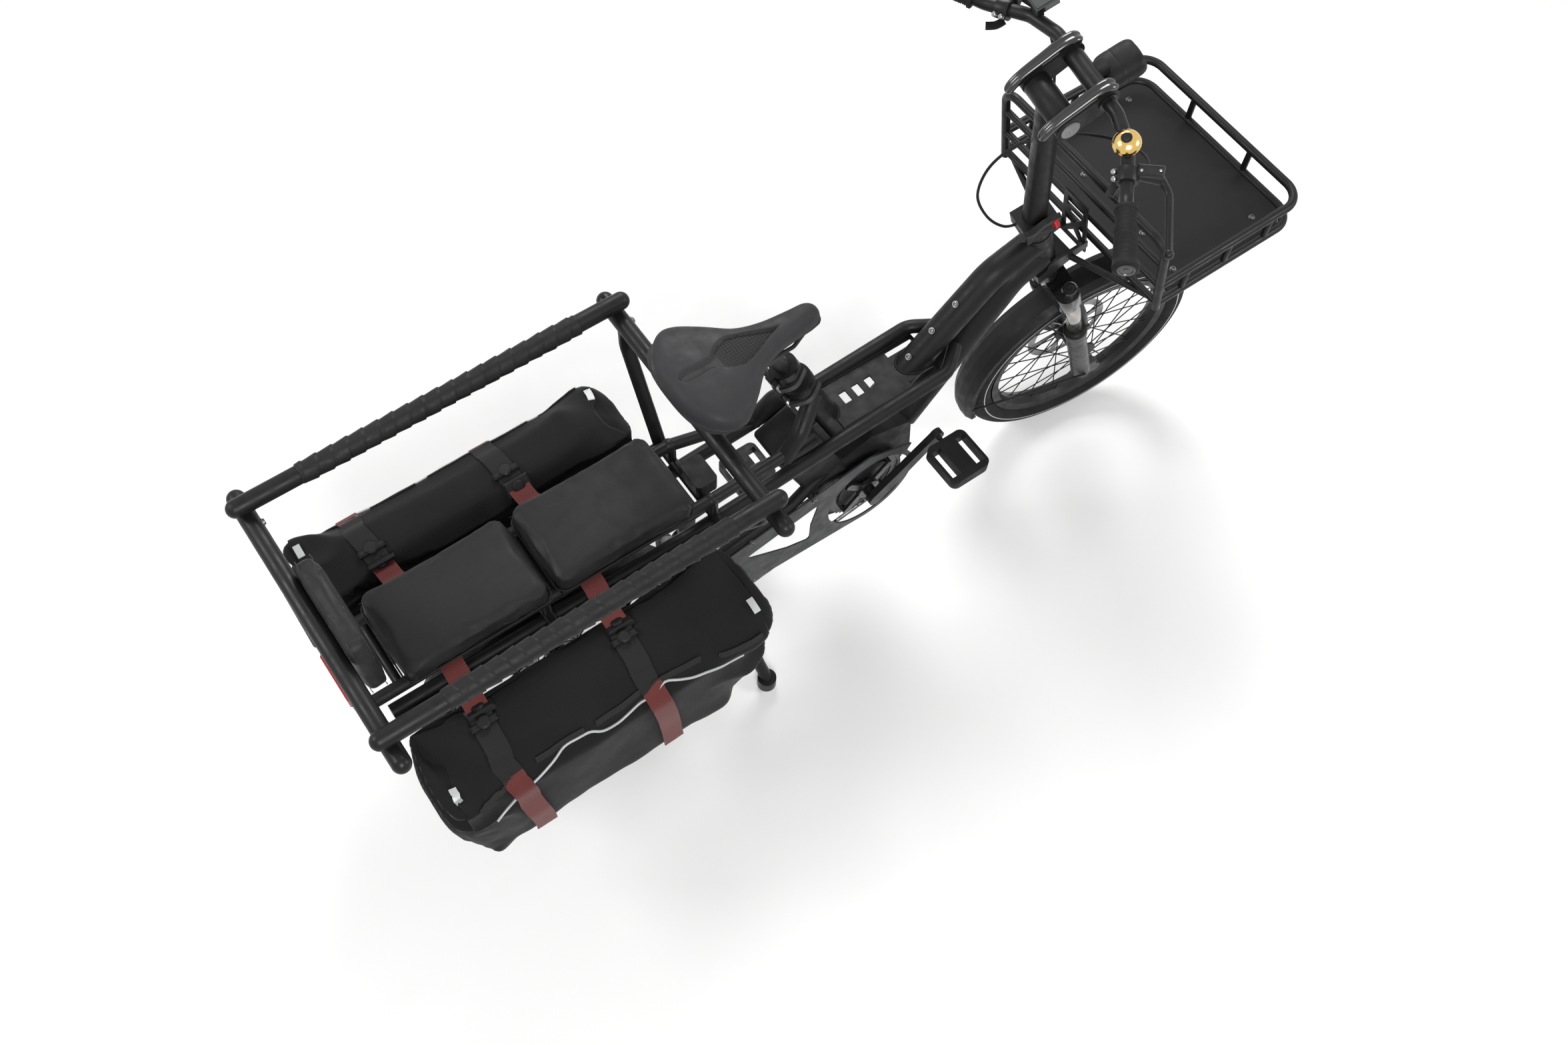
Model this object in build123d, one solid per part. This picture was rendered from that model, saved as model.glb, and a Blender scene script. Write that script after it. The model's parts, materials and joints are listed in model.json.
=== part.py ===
from build123d import *
from math import acos, atan2, cos, hypot, pi, radians, sin
import os

# Electric cargo bike with 20 inch wheels, on its centre stand.
# Millimetres, X forward, Y left, Z up; the origin is on the floor at mid length.

# Wheels
TYRE_R = 258.0
TYRE_W = 55.0
TYRE_H = 51.0
BEAD_R = TYRE_R - TYRE_H
RIM_DEPTH = 22.0
RIM_W = 38.0
HUB_R = 19.0
HUB_FLANGE_R = 29.0
HUB_FLANGE_T = 4.0
HUB_FLANGE_Y = 30.0
SPOKE_R = 1.2
SPOKE_PAIRS = 9
AXLE_R = 6.0
FRONT_AXLE_X = 683.0
WHEELBASE = 1250.0
DISC_R = 90.0
DISC_T = 2.0
DISC_Y = 35.0
DISC_RING_W = 16.0
FENDER_GAP = 10.0
FENDER_HALF = 33.0
FENDER_STAY_R = 2.5

# Clearances
RUN_GAP = 0.3
SEAT_GAP = 0.3

# Steering
HEAD_ANGLE = 71.0
FORK_OFFSET = 42.5
STEER_REST = -8.5
STEERER_R = 14.3
HEAD_R = 27.0
HEAD_LOW = 412.0
HEAD_HIGH = 556.0
LEG_X = 19.0
LEG_Y = 63.0
STANCHION_R = 15.0
LOWER_R = 20.0
LOWER_TOP = 215.0
ARCH_RISE = 34.0
ARCH_R = 6.5
FENDER_STAY_Y = 86.4
CROWN_LOW = 348.0
CROWN_HIGH = 392.0

# Handlebar, in the steering frame
POST_R = 21.0
FOLD_Z = 606.0
T_CENTRE = (57.0, 920.0)
BAR_CENTRE = (123.0, 935.0)
BAR_R = 11.1
BAR_CLAMP_R = 15.9
BAR_STRAIGHT = 85.0
BAR_KNEE = (108.0, 140.0, 931.0)
GRIP_IN = (63.5, 206.0, 926.0)
GRIP_OUT = (0.6, 309.0, 947.0)
GRIP_R = 16.0
CABLE_R = 2.5
ARM_Y = 50.0

# Drive
CRANK_X = 97.0
CRANK_Z = 305.0
CRANK_L = 170.0
CRANK_ANGLE = 38.0
SPINDLE_R = 12.0
ARM_IN_Y = 78.0
ARM_T = 14.0
PEDAL_W = 92.0
PEDAL_L = 88.0
PEDAL_T = 24.0
PEDAL_PIN_R = 5.0
PEDAL_PIN_L = 90.0
CHAIN_Y = -48.0
CHAIN_PITCH = 12.7
CHAINRING_R = 84.0
CHAINRING_TEETH = 44
SPROCKET_R = 40.0
SPROCKET_T = 1.8
SPROCKET_STEP = 3.6
SPROCKET_COUNT = 8
GUIDE_R = 20.0
GUIDE_UPPER = (-15.0, -80.0)
GUIDE_LOWER = (19.0, -146.0)
GUARD_Y = 62.0
GUARD_T = 3.0
GUARD_RING_R = 107.0
GUARD_OPEN_R = 96.0
GUARD_BOSSES = ((-40.0, 400.0), (-180.0, 382.0))
GUARD_BOSS_Y = 50.0
GUARD_BOSS_R = 6.0

# Frame
TOP_TUBE_R = 27.0
DOWN_TUBE_R = 32.0
BEAM_R = 13.0
BEAM_Y = 60.0
SEAT_TUBE_R = 23.0
TOP_TUBE_LOW = (80.0, 430.0)
TOP_TUBE_KNEE = (372.0, 707.0)
TOP_TUBE_END = (478.0, 738.0)
BOSS_COUNT = 3
BOSS_FIRST = 200.0
BOSS_PITCH = 64.0
BOSS_R = 7.0
BOSS_H = 2.0
BOSS_HOLE_R = 2.1
BOSS_DEPTH = 14.0
SEATPOST_R = 17.0
SEAT_LOW = (75.0, 438.0)
SEAT_COLLAR = (-56.0, 743.0)
RACK_R = 11.0
BRACE_R = 16.0
RACK_Y = 64.0
RACK_Z = 635.0
RACK_FRONT_X = -267.0
RACK_END_X = -925.0
RACK_WELD = 1.5
BAG_RAIL_Y = 100.0
BAG_RAIL_Z = 580.0
BAG_RAIL_R = 9.0
BAG_RAIL_FRONT_X = -262.0
BAG_RAIL_REAR_X = -917.0
DECK_BOX_H = 32.7
STAY_Y = 76.0
DROPOUT_T = 8.0
STAY_R = 12.0
STAY_BEND = 0.55
SEAT_STAY_R = 9.0
DROPOUT_R = 24.0

# Passenger rails
RAIL_R = 15.0
RAIL_Y = 219.7
RAIL_Z = 856.9
RAIL_FRONT_X = -249.0
RAIL_REAR_X = -923.0
CROSS_FRONT_X = -258.8
CROSS_REAR_X = -914.0
CROSS_HALF = 268.0
BACKREST_T = 36.0
BACKREST_W = 190.0
BACKREST_H = 160.0
UPRIGHT_Y = 196.0
UPRIGHT_R = 12.0
WRAP_T = 3.0
PAD_HALF_W = 85.0
PAD_T = 46.4
PAD_FRONT_X = -303.0
PAD_REAR_X = -843.0

# Front rack
TRAY_T = 4.0
FRONT_RAIL_X = 912.7
FRONT_RAIL_Y = 209.0
FRONT_RAIL_R = 8.0
FRONT_BEND_R = 42.0
FRONT_RAIL_Z = 762.0
FRONT_LOW_Z = 705.0
FENCE_FOOT = (581.0, 690.0)
FENCE_HEAD = (542.0, 884.0)
FENCE_BEND_R = 34.0
FENCE_BAR_Z = (FRONT_LOW_Z, FRONT_RAIL_Z, 824.0)
FENCE_BAR_R = 6.5
FRONT_POST_X = (635.0, 737.0, 836.0)
FRONT_POST_Y = 75.0
FRONT_POST_R = 6.0
TRAY_REAR_X = 600.0
TRAY_BAR_X = (660.0, 850.0)
BRACKET_Z = 738.0
BRACKET_T = 4.0
BRACKET_ARM_Y = 31.0
BRACKET_ARM_T = 6.0
BRACKET_STRUT_R = 6.0

# Centre stand
STAND_X = -240.0
STAND_Z = 240.0
STAND_PIN_R = 8.0
STAND_TUBE_R = 15.0
STAND_LEG_R = 12.0
STAND_FOOT_Y = 185.0
STAND_FORWARD = 22.0

HEAD = radians(HEAD_ANGLE)
UP_AXIS = Vector(-cos(HEAD), 0, sin(HEAD))
FORWARD = Vector(sin(HEAD), 0, cos(HEAD))
FRONT_AXLE = Vector(FRONT_AXLE_X, 0, TYRE_R)
STEER_ORIGIN = FRONT_AXLE - FORWARD * FORK_OFFSET
HEAD_PLANE = Plane(origin=STEER_ORIGIN, x_dir=FORWARD, z_dir=UP_AXIS)
STEER_PLANE = HEAD_PLANE * Rot(0, 0, STEER_REST)
REAR_AXLE = Vector(FRONT_AXLE_X - WHEELBASE, 0, TYRE_R)
REAR_PLANE = Plane(origin=REAR_AXLE, x_dir=(1, 0, 0), z_dir=(0, 0, 1))
BASE = (Align.CENTER, Align.CENTER, Align.MIN)


def bar(start, end, radius):
    """A round bar between two points."""
    start = Vector(*start)
    span = Vector(*end) - start
    return Plane(origin=start, z_dir=span) * Cylinder(radius, span.length, align=BASE)


def bent(points, radius, bend):
    """A round bar along a line of points, with arcs at its corners."""
    path = FilletPolyline(*points, radius=bend)
    return sweep(Plane(origin=path @ 0, z_dir=path % 0) * Circle(radius), path=path)


def ring(outer, inner, low, high):
    """A round sleeve about Y between two heights along Y."""
    wall = Circle(outer) - Circle(inner)
    return Rot(-90, 0, 0) * Pos(0, 0, low) * extrude(wall, high - low)


def disc_y(radius, low, high):
    """A round disc about Y."""
    return Rot(-90, 0, 0) * Pos(0, 0, low) * extrude(Circle(radius), high - low)


def plate_y(points, low, high):
    """A flat plate with its outline in X and Z, between two places along Y."""
    outline = make_face(Polyline(*points, close=True))
    return Pos(0, high, 0) * extrude(Plane.XZ * outline, high - low)


def mirrored(shape):
    """The shape and its mirror image across the middle plane."""
    return Compound([*shape.solids(), *mirror(shape, Plane.XZ).solids()])


def tyre():
    """A round tyre about Y that is cut off flat at its bead."""
    section = Pos(TYRE_R - TYRE_W / 2, 0) * Circle(TYRE_W / 2)
    section -= Pos(BEAD_R + SEAT_GAP, 0) * Rectangle(
        TYRE_W, TYRE_W * 2, align=(Align.MAX, Align.CENTER)
    )
    return revolve(section, Axis.Y)


def spoked_wheel():
    """A rim, its crossed spokes and a hub with a running bore, about Y."""
    inner = BEAD_R - RIM_DEPTH
    rim = make_face(
        Polyline(
            (BEAD_R, -RIM_W / 2),
            (BEAD_R, RIM_W / 2),
            (inner + 6, RIM_W / 2 - 3),
            (inner, 6),
            (inner, -6),
            (inner + 6, -RIM_W / 2 + 3),
            close=True,
        )
    )
    wheel = revolve(rim, Axis.Y)
    hub = disc_y(HUB_R, -HUB_FLANGE_Y, HUB_FLANGE_Y)
    for side in (-1, 1):
        middle = side * HUB_FLANGE_Y
        hub += disc_y(HUB_FLANGE_R, middle - HUB_FLANGE_T / 2, middle + HUB_FLANGE_T / 2)
    spokes = []
    for side in (-1, 1):
        for number in range(SPOKE_PAIRS):
            middle = 360 / SPOKE_PAIRS * (number + (0.5 if side > 0 else 0))
            for lean in (-1, 1):
                start = radians(middle + lean * 50)
                end = radians(middle + lean * 10)
                foot = (HUB_FLANGE_R - 3) * cos(start), side * HUB_FLANGE_Y
                head = (inner + 2) * cos(end), side * 3
                spokes.append(
                    bar(
                        (foot[0], foot[1], (HUB_FLANGE_R - 3) * sin(start)),
                        (head[0], head[1], (inner + 2) * sin(end)),
                        SPOKE_R,
                    )
                )
    wheel = wheel + hub + spokes
    return wheel - disc_y(AXLE_R + RUN_GAP, -HUB_FLANGE_Y * 2, HUB_FLANGE_Y * 2)


def brake_disc():
    """A drilled brake disc about Y on the left of its hub."""
    disc = ring(DISC_R, DISC_R - DISC_RING_W, DISC_Y, DISC_Y + DISC_T)
    arm = Pos(0, DISC_Y + DISC_T / 2, 0) * Box(DISC_R * 2 - 20, DISC_T, 12)
    for number in range(3):
        disc += Rot(0, 60 * number, 0) * arm
    disc += disc_y(26, HUB_FLANGE_Y + HUB_FLANGE_T / 2, DISC_Y + DISC_T)
    return disc - disc_y(AXLE_R + RUN_GAP, 0, DISC_Y * 2)


def fender(inner, half_width, first, last, thick=3.0):
    """A domed mudguard about Y from one angle to another, in degrees up from +X."""
    section = make_face(
        Polyline(
            (inner - 12, half_width),
            (inner - 2, half_width),
            (inner + 6, half_width - 14),
            (inner + 8, 0),
            (inner + 6, 14 - half_width),
            (inner - 2, -half_width),
            (inner - 12, -half_width),
            (inner - 12, thick - half_width),
            (inner - 3, thick - half_width),
            (inner + 3, 14 - half_width),
            (inner + 5, 0),
            (inner + 3, half_width - 14),
            (inner - 3, half_width - thick),
            (inner - 12, half_width - thick),
            close=True,
        )
    )
    return Rot(0, -first, 0) * revolve(section, Axis((0, 0, 0), (0, -1, 0)), last - first)


def tangent_run(one, two):
    """The straight run of a chain between two wheels, each X, Z, radius and turn sense."""
    gap = hypot(two[0] - one[0], two[1] - one[1])
    along = atan2(two[1] - one[1], two[0] - one[0])
    lean = acos((one[2] * one[3] - two[2] * two[3]) / gap)
    angle = along - lean
    first = one[0] + one[2] * one[3] * cos(angle), one[1] + one[2] * one[3] * sin(angle)
    last = two[0] + two[2] * two[3] * cos(angle), two[1] + two[2] * two[3] * sin(angle)
    return first, last


def chain_line(wheels):
    """Points one pitch apart along a chain around the wheels."""
    corners = []
    for number, wheel in enumerate(wheels):
        ahead = wheels[(number + 1) % len(wheels)]
        corners.append(tangent_run(wheel, ahead))
    line = []
    for number, wheel in enumerate(wheels):
        x, z, radius, sense = wheel
        start = corners[number - 1][1]
        end = corners[number][0]
        first = atan2(start[1] - z, start[0] - x)
        turn = (atan2(end[1] - z, end[0] - x) - first) * sense % (2 * pi)
        steps = max(2, round(turn * radius / CHAIN_PITCH))
        for step in range(steps + 1):
            angle = first + sense * turn * step / steps
            line.append((x + radius * cos(angle), z + radius * sin(angle)))
        run = hypot(corners[number][1][0] - end[0], corners[number][1][1] - end[1])
        steps = max(1, round(run / CHAIN_PITCH))
        for step in range(1, steps):
            share = step / steps
            line.append(
                (
                    end[0] + (corners[number][1][0] - end[0]) * share,
                    end[1] + (corners[number][1][1] - end[1]) * share,
                )
            )
    return line


def chain_side(line, low, high):
    """One row of chain plates, with its waists between the pins."""
    outer = []
    inner = []
    count = len(line)
    for number, point in enumerate(line):
        before = line[number - 1]
        after = line[(number + 1) % count]
        size = hypot(after[0] - before[0], after[1] - before[1])
        normal = (after[1] - before[1]) / size, (before[0] - after[0]) / size
        half = 4.2 if number % 2 else 3.2
        outer.append((point[0] + normal[0] * half, 0, point[1] + normal[1] * half))
        inner.append((point[0] - normal[0] * half, 0, point[1] - normal[1] * half))
    band = plate_y(flat(outer), low, high) - plate_y(flat(inner), low, high)
    return band


def flat(points):
    """The X and Z of each point."""
    return [(point[0], point[2]) for point in points]


nodes = {}

# Front wheel
front = STEER_PLANE * Pos(FORK_OFFSET, 0, 0)
nodes["front_tyre"] = front * tyre()
nodes["front_rim"] = front * spoked_wheel()
nodes["front_disc"] = front * brake_disc()

# Fork
crown = Box(46, 2 * LEG_Y + 44, CROWN_HIGH - CROWN_LOW)
crown = fillet(crown.edges().filter_by(Axis.Z), 20)
crown = Pos(LEG_X * 0.7, 0, (CROWN_LOW + CROWN_HIGH) / 2) * crown
steerer = Pos(0, 0, CROWN_HIGH) * Cylinder(STEERER_R, FOLD_Z - CROWN_HIGH, align=BASE)
race = Pos(0, 0, CROWN_HIGH) * Cylinder(HEAD_R, HEAD_LOW - CROWN_HIGH - 2, align=BASE)
fork_upper = crown + steerer + race
for side in (-1, 1):
    leg = Pos(LEG_X, side * LEG_Y, 60) * Cylinder(STANCHION_R, CROWN_HIGH - 56, align=BASE)
    fork_upper += leg
nodes["fork_upper"] = STEER_PLANE * fork_upper

lowers = disc_y(AXLE_R, -LEG_Y, LEG_Y)
lowers = Pos(FORK_OFFSET, 0, 0) * lowers
for side in (-1, 1):
    leg = Pos(LEG_X, side * LEG_Y, 8) * Cylinder(LOWER_R, LOWER_TOP - 8, align=BASE)
    leg += Pos(LEG_X, side * LEG_Y, LOWER_TOP - 16) * Cylinder(LOWER_R + 3, 16, align=BASE)
    leg -= Pos(LEG_X, side * LEG_Y, 50) * Cylinder(STANCHION_R + RUN_GAP, LOWER_TOP, align=BASE)
    lug = Pos(FORK_OFFSET, 0, 0) * disc_y(16, side * LEG_Y - 9, side * LEG_Y + 9)
    lug += Pos((LEG_X + FORK_OFFSET) / 2, side * LEG_Y, 14) * Box(40, 18, 28)
    lowers += leg + lug
arch = bent(
    [
        (LEG_X + 22, -LEG_Y, LOWER_TOP - 10),
        (LEG_X + 22, -LEG_Y, TYRE_R + ARCH_RISE),
        (LEG_X + 22, LEG_Y, TYRE_R + ARCH_RISE),
        (LEG_X + 22, LEG_Y, LOWER_TOP - 10),
    ],
    ARCH_R,
    38,
)
for side in (-1, 1):
    arch += Pos(LEG_X + 16, side * LEG_Y, LOWER_TOP - 9) * Box(24, 18, 16)
for side in (-1, 1):
    hole = Pos(LEG_X, side * LEG_Y, 50) * Cylinder(STANCHION_R + RUN_GAP, LOWER_TOP, align=BASE)
    arch -= hole
nodes["fork_lowers"] = STEER_PLANE * (lowers + arch)

caliper = Pos(-20, LEG_Y - 10, 62) * Box(46, 26, 52)
caliper -= Pos(FORK_OFFSET, 0, 0) * disc_y(DISC_R + 6, DISC_Y - 5, DISC_Y + DISC_T + 5)
caliper -= Pos(LEG_X, LEG_Y, 0) * Cylinder(LOWER_R + RUN_GAP, 300)
nodes["front_caliper"] = STEER_PLANE * caliper

guard = Pos(FORK_OFFSET, 0, 0) * fender(TYRE_R + FENDER_GAP, FENDER_HALF, 43, 181)
stay_angle = radians(172)
stay_reach = TYRE_R + FENDER_GAP - 6
for side in (-1, 1):
    guard += bar(
        (FORK_OFFSET + stay_reach * cos(stay_angle), side * (FENDER_HALF - 1), stay_reach * sin(stay_angle)),
        (LEG_X, side * FENDER_STAY_Y, 30),
        FENDER_STAY_R,
    )
guard += Pos(FORK_OFFSET, 0, TYRE_R + FENDER_GAP + 12.2) * Box(16, 16, 10)
nodes["front_fender"] = STEER_PLANE * guard

# Handlepost
post = Pos(0, 0, HEAD_HIGH + 2) * Cylinder(HEAD_R - 1, FOLD_Z - HEAD_HIGH - 22, align=BASE)
post += Pos(2, 0, FOLD_Z - 12) * Box(66, 56, 34)
post += bar((0, 0, FOLD_Z - 8), (T_CENTRE[0], 0, T_CENTRE[1]), POST_R)
post += Pos(T_CENTRE[0], 0, T_CENTRE[1]) * disc_y(22, -ARM_Y + 9, ARM_Y - 9)
post -= Pos(0, 0, HEAD_HIGH) * Cylinder(STEERER_R, FOLD_Z - HEAD_HIGH, align=BASE)
nodes["handlepost"] = STEER_PLANE * post

arms = Part()
for side in (-1, 1):
    y = side * ARM_Y
    arm = Pos(T_CENTRE[0], 0, T_CENTRE[1]) * disc_y(23, y - 9 + SEAT_GAP * side, y + 9)
    arm += Pos(BAR_CENTRE[0], 0, BAR_CENTRE[1]) * disc_y(21, y - 9, y + 9)
    arm += plate_y(
        [
            (T_CENTRE[0] - 4, T_CENTRE[1] + 22),
            (BAR_CENTRE[0] - 4, BAR_CENTRE[1] + 20),
            (BAR_CENTRE[0] + 4, BAR_CENTRE[1] - 20),
            (T_CENTRE[0] + 4, T_CENTRE[1] - 22),
        ],
        y - 9,
        y + 9,
    )
    arm -= Pos(BAR_CENTRE[0], 0, BAR_CENTRE[1]) * disc_y(BAR_CLAMP_R, y - 20, y + 20)
    lever = plate_y(
        [
            (T_CENTRE[0] - 34, T_CENTRE[1] + 14),
            (T_CENTRE[0] - 20, T_CENTRE[1] + 26),
            (BAR_CENTRE[0] + 6, BAR_CENTRE[1] + 30),
            (BAR_CENTRE[0] + 14, BAR_CENTRE[1] + 20),
            (BAR_CENTRE[0] - 4, BAR_CENTRE[1] + 19),
            (T_CENTRE[0] - 4, T_CENTRE[1] + 21),
        ],
        y - 8,
        y + 8,
    )
    arms += arm + lever
nodes["stem_arms"] = STEER_PLANE * arms

bar_half = [
    (BAR_CENTRE[0], 0, BAR_CENTRE[1]),
    (BAR_CENTRE[0], BAR_STRAIGHT, BAR_CENTRE[1]),
    BAR_KNEE,
    GRIP_IN,
    GRIP_OUT,
]
bar_line = [(x, -y, z) for x, y, z in reversed(bar_half[1:])] + bar_half[1:]
handlebar = bent(bar_line, BAR_R, 40)
handlebar += Pos(BAR_CENTRE[0], 0, BAR_CENTRE[1]) * disc_y(BAR_CLAMP_R, -ARM_Y - 12, ARM_Y + 12)
nodes["handlebar"] = STEER_PLANE * handlebar

grip_in = Vector(*GRIP_IN)
grip_way = (Vector(*GRIP_OUT) - grip_in).normalized()
grip = bar(grip_in + grip_way * 18, Vector(*GRIP_OUT) + grip_way * 6, GRIP_R)
grip -= bar(grip_in, Vector(*GRIP_OUT) + grip_way * SEAT_GAP, BAR_R + SEAT_GAP)
nodes["grips"] = STEER_PLANE * mirrored(grip)

# Brake levers beside the grips
knee_way = (grip_in - Vector(*BAR_KNEE)).normalized()
brake_spot = Vector(*BAR_KNEE) + knee_way * 46
body = Plane(origin=brake_spot, x_dir=(1, 0, 0), z_dir=knee_way) * Cylinder(17, 22)
body += bar(brake_spot + Vector(14, 0, -4), brake_spot + Vector(44, 26, -14), 11)
body += bent(
    [
        brake_spot + Vector(42, 24, -14),
        brake_spot + Vector(40, 50, -22),
        brake_spot + Vector(-12, 132, -22),
    ],
    6,
    30,
)
body -= Plane(origin=brake_spot, z_dir=knee_way) * Cylinder(BAR_R + SEAT_GAP, 60)
nodes["brake_levers"] = STEER_PLANE * mirrored(body)

bell_spot = Vector(*BAR_KNEE) - Vector(2, 0, 0)
bell = Pos(bell_spot.X, -bell_spot.Y, bell_spot.Z + BAR_R + 3) * Cylinder(22, 16, align=BASE)
bell += Pos(bell_spot.X, -bell_spot.Y, bell_spot.Z + BAR_R + SEAT_GAP) * Cylinder(8, 4, align=BASE)
bell -= handlebar
nodes["bell"] = STEER_PLANE * bell

screen = Box(40, 66, 12)
screen = Pos(128, 150, 962) * screen
screen += Pos(116, 132, 948) * Box(14, 16, 18)
screen -= handlebar
nodes["display"] = STEER_PLANE * screen

# Brake hoses from the levers to the post, and a control cable in a loop behind it
hose_line = [
    (114, 190, 914),
    (130, 152, 898),
    (122, 104, 880),
    (92, 54, 862),
    (66, 26, 850),
    (44, 10, 842),
]
hose = bent(hose_line, CABLE_R, 30)
hose -= body
hose -= post
cable_line = [
    (36, 6, 808),
    (8, 30, 800),
    (-44, 40, 766),
    (-77, 40, 704),
    (-72, 30, 638),
    (-52, 16, 600),
    (-20, 10, 590),
]
cable = bent(cable_line, CABLE_R, 26)
cable -= post
cables = [*mirrored(hose.solids().sort_by(SortBy.VOLUME)[-1]).solids()]
cables.append(cable.solids().sort_by(SortBy.VOLUME)[-1])
nodes["control_cables"] = STEER_PLANE * Compound(cables)

lamp = Pos(176, 0, 905) * Box(70, 64, 46)
lamp = fillet(lamp.edges().filter_by(Axis.Y), 14)
lamp += Pos(140, 0, 930) * Box(30, 22, 30)
lamp -= Pos(BAR_CENTRE[0], 0, BAR_CENTRE[1]) * disc_y(BAR_CLAMP_R + SEAT_GAP, -60, 60)
nodes["headlamp"] = STEER_PLANE * lamp

# Main tubes
head = HEAD_PLANE * Pos(0, 0, HEAD_LOW) * Cylinder(HEAD_R, HEAD_HIGH - HEAD_LOW, align=BASE)
bore = HEAD_PLANE * Pos(0, 0, HEAD_LOW - 40) * Cylinder(STEERER_R + RUN_GAP, 300, align=BASE)
top_line = [Vector(x, 0, z) for x, z in (TOP_TUBE_LOW, TOP_TUBE_KNEE, TOP_TUBE_END)]
top_tube = bent(top_line, TOP_TUBE_R, 90)
down_tube = bent([(215, 0, 391), (425, 0, 672), (488, 0, 692)], DOWN_TUBE_R, 60)
main_tubes = head + top_tube + down_tube
main_tubes -= bore
tube_way = (top_line[1] - top_line[0]).normalized()
tube_up = Vector(-tube_way.Z, 0, tube_way.X)
for number in range(BOSS_COUNT):
    spot = top_line[0] + tube_way * (BOSS_FIRST + BOSS_PITCH * number) + tube_up * TOP_TUBE_R
    boss_plane = Plane(origin=spot + tube_up * BOSS_H, z_dir=tube_up)
    main_tubes += boss_plane * Pos(0, 0, -BOSS_H - 3) * Cylinder(BOSS_R, BOSS_H + 3, align=BASE)
    main_tubes -= boss_plane * Pos(0, 0, -BOSS_DEPTH) * Cylinder(BOSS_HOLE_R, BOSS_DEPTH, align=BASE)
nodes["main_tubes"] = main_tubes

# Side beams with the plate between them
beam = bent([(292, 26, 586), (250, BEAM_Y, 576), (-300, BEAM_Y, 546), (-880, BEAM_Y, 556)], BEAM_R, 40)
plate = Pos(140, 0, 564) * Box(220, 2 * (BEAM_Y - BEAM_R / 2), 5)
for x in (70, 98, 126):
    plate -= Pos(x, 6, 564) * Box(16, 24, 20)
for side in (-1, 1):
    plate -= Pos(214, side * 36, 564) * Box(60, 12, 20)
beams = beam + plate + mirror(beam, Plane.XZ)
beams -= main_tubes
nodes["side_beams"] = beams

# Seat tube and the forked brace behind it
seat_low = Vector(SEAT_LOW[0], 0, SEAT_LOW[1])
seat_top = Vector(SEAT_COLLAR[0], 0, SEAT_COLLAR[1])
seat_way = (seat_top - seat_low).normalized()
seat_tube = bar(seat_low, seat_top, SEAT_TUBE_R)
seat_tube += bar(seat_top - seat_way * 26, seat_top - seat_way * 2, SEAT_TUBE_R + 6)
brace = bent([(-96, 44, 598), (-130, 48, 603), (RACK_FRONT_X, RACK_Y, RACK_Z)], RACK_R, 30)
brace += bent([(-16, 8, 672), (-66, 40, 636), (-104, 46, 590)], BRACE_R, 30)
seat_tube += brace + mirror(brace, Plane.XZ)
seat_tube -= bar(seat_low + seat_way * 40, seat_top + seat_way * 20, SEATPOST_R + RUN_GAP)
seat_tube -= beams
seat_tube -= main_tubes
nodes["seat_tube"] = seat_tube

# Rear rack
rail = bar((RACK_FRONT_X, RACK_Y, RACK_Z), (RACK_END_X, RACK_Y, RACK_Z), RACK_R)
rail += Pos(RACK_FRONT_X, RACK_Y, RACK_Z) * Sphere(RACK_R + RACK_WELD)
rack = rail + mirror(rail, Plane.XZ)
for x in (-300, -572, -850):
    rack += bar((x, -RACK_Y, RACK_Z), (x, RACK_Y, RACK_Z), 8)
for x in (BAG_RAIL_FRONT_X, -590, BAG_RAIL_REAR_X):
    rack += bar((x, -BAG_RAIL_Y, BAG_RAIL_Z), (x, BAG_RAIL_Y, BAG_RAIL_Z), BAG_RAIL_R)
    for side in (-1, 1):
        rack += bar((x, side * RACK_Y, BAG_RAIL_Z), (x, side * RACK_Y, RACK_Z), 8)
        rack += bar((x, side * BEAM_Y, 548), (x, side * BEAM_Y, BAG_RAIL_Z), 8)
for side in (-1, 1):
    start = (BAG_RAIL_FRONT_X, side * BAG_RAIL_Y, BAG_RAIL_Z)
    rack += bar(start, (BAG_RAIL_REAR_X, side * BAG_RAIL_Y, BAG_RAIL_Z), BAG_RAIL_R)
rack -= beams
rack -= seat_tube
nodes["rear_rack"] = rack

# Rear stays, dropouts and the stand's bracket
stays = Part()
for side in (-1, 1):
    y = side * STAY_Y
    stay_line = [
        (30, side * 26, 420),
        (-80, side * 48, 398),
        (STAND_X, side * 50, 374),
        (STAND_X + (REAR_AXLE.X - STAND_X) * STAY_BEND, side * 72, 352),
        (REAR_AXLE.X, y + side * 4, REAR_AXLE.Z + 10),
    ]
    stays += bent(stay_line, STAY_R, 60)
    stays += bar((REAR_AXLE.X + 177, side * BEAM_Y, 548), (REAR_AXLE.X, y, REAR_AXLE.Z + 6), SEAT_STAY_R)
    stays += Pos(REAR_AXLE.X, 0, REAR_AXLE.Z) * disc_y(DROPOUT_R, y - DROPOUT_T / 2, y + DROPOUT_T / 2)
    stays += plate_y(
        [(-222, 366), (-262, 362), (STAND_X - 14, STAND_Z - 8), (STAND_X + 14, STAND_Z - 8)],
        side * 60 - 5,
        side * 60 + 5,
    )
    stays += Pos(STAND_X, 0, STAND_Z) * disc_y(17, side * 60 - 5, side * 60 + 5)
stays += Pos(REAR_AXLE.X, 0, REAR_AXLE.Z) * disc_y(AXLE_R, -STAY_Y, STAY_Y)
stays += Pos(STAND_X, 0, STAND_Z) * disc_y(STAND_PIN_R, -92, 92)
stays -= beams
nodes["rear_stays"] = stays

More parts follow.
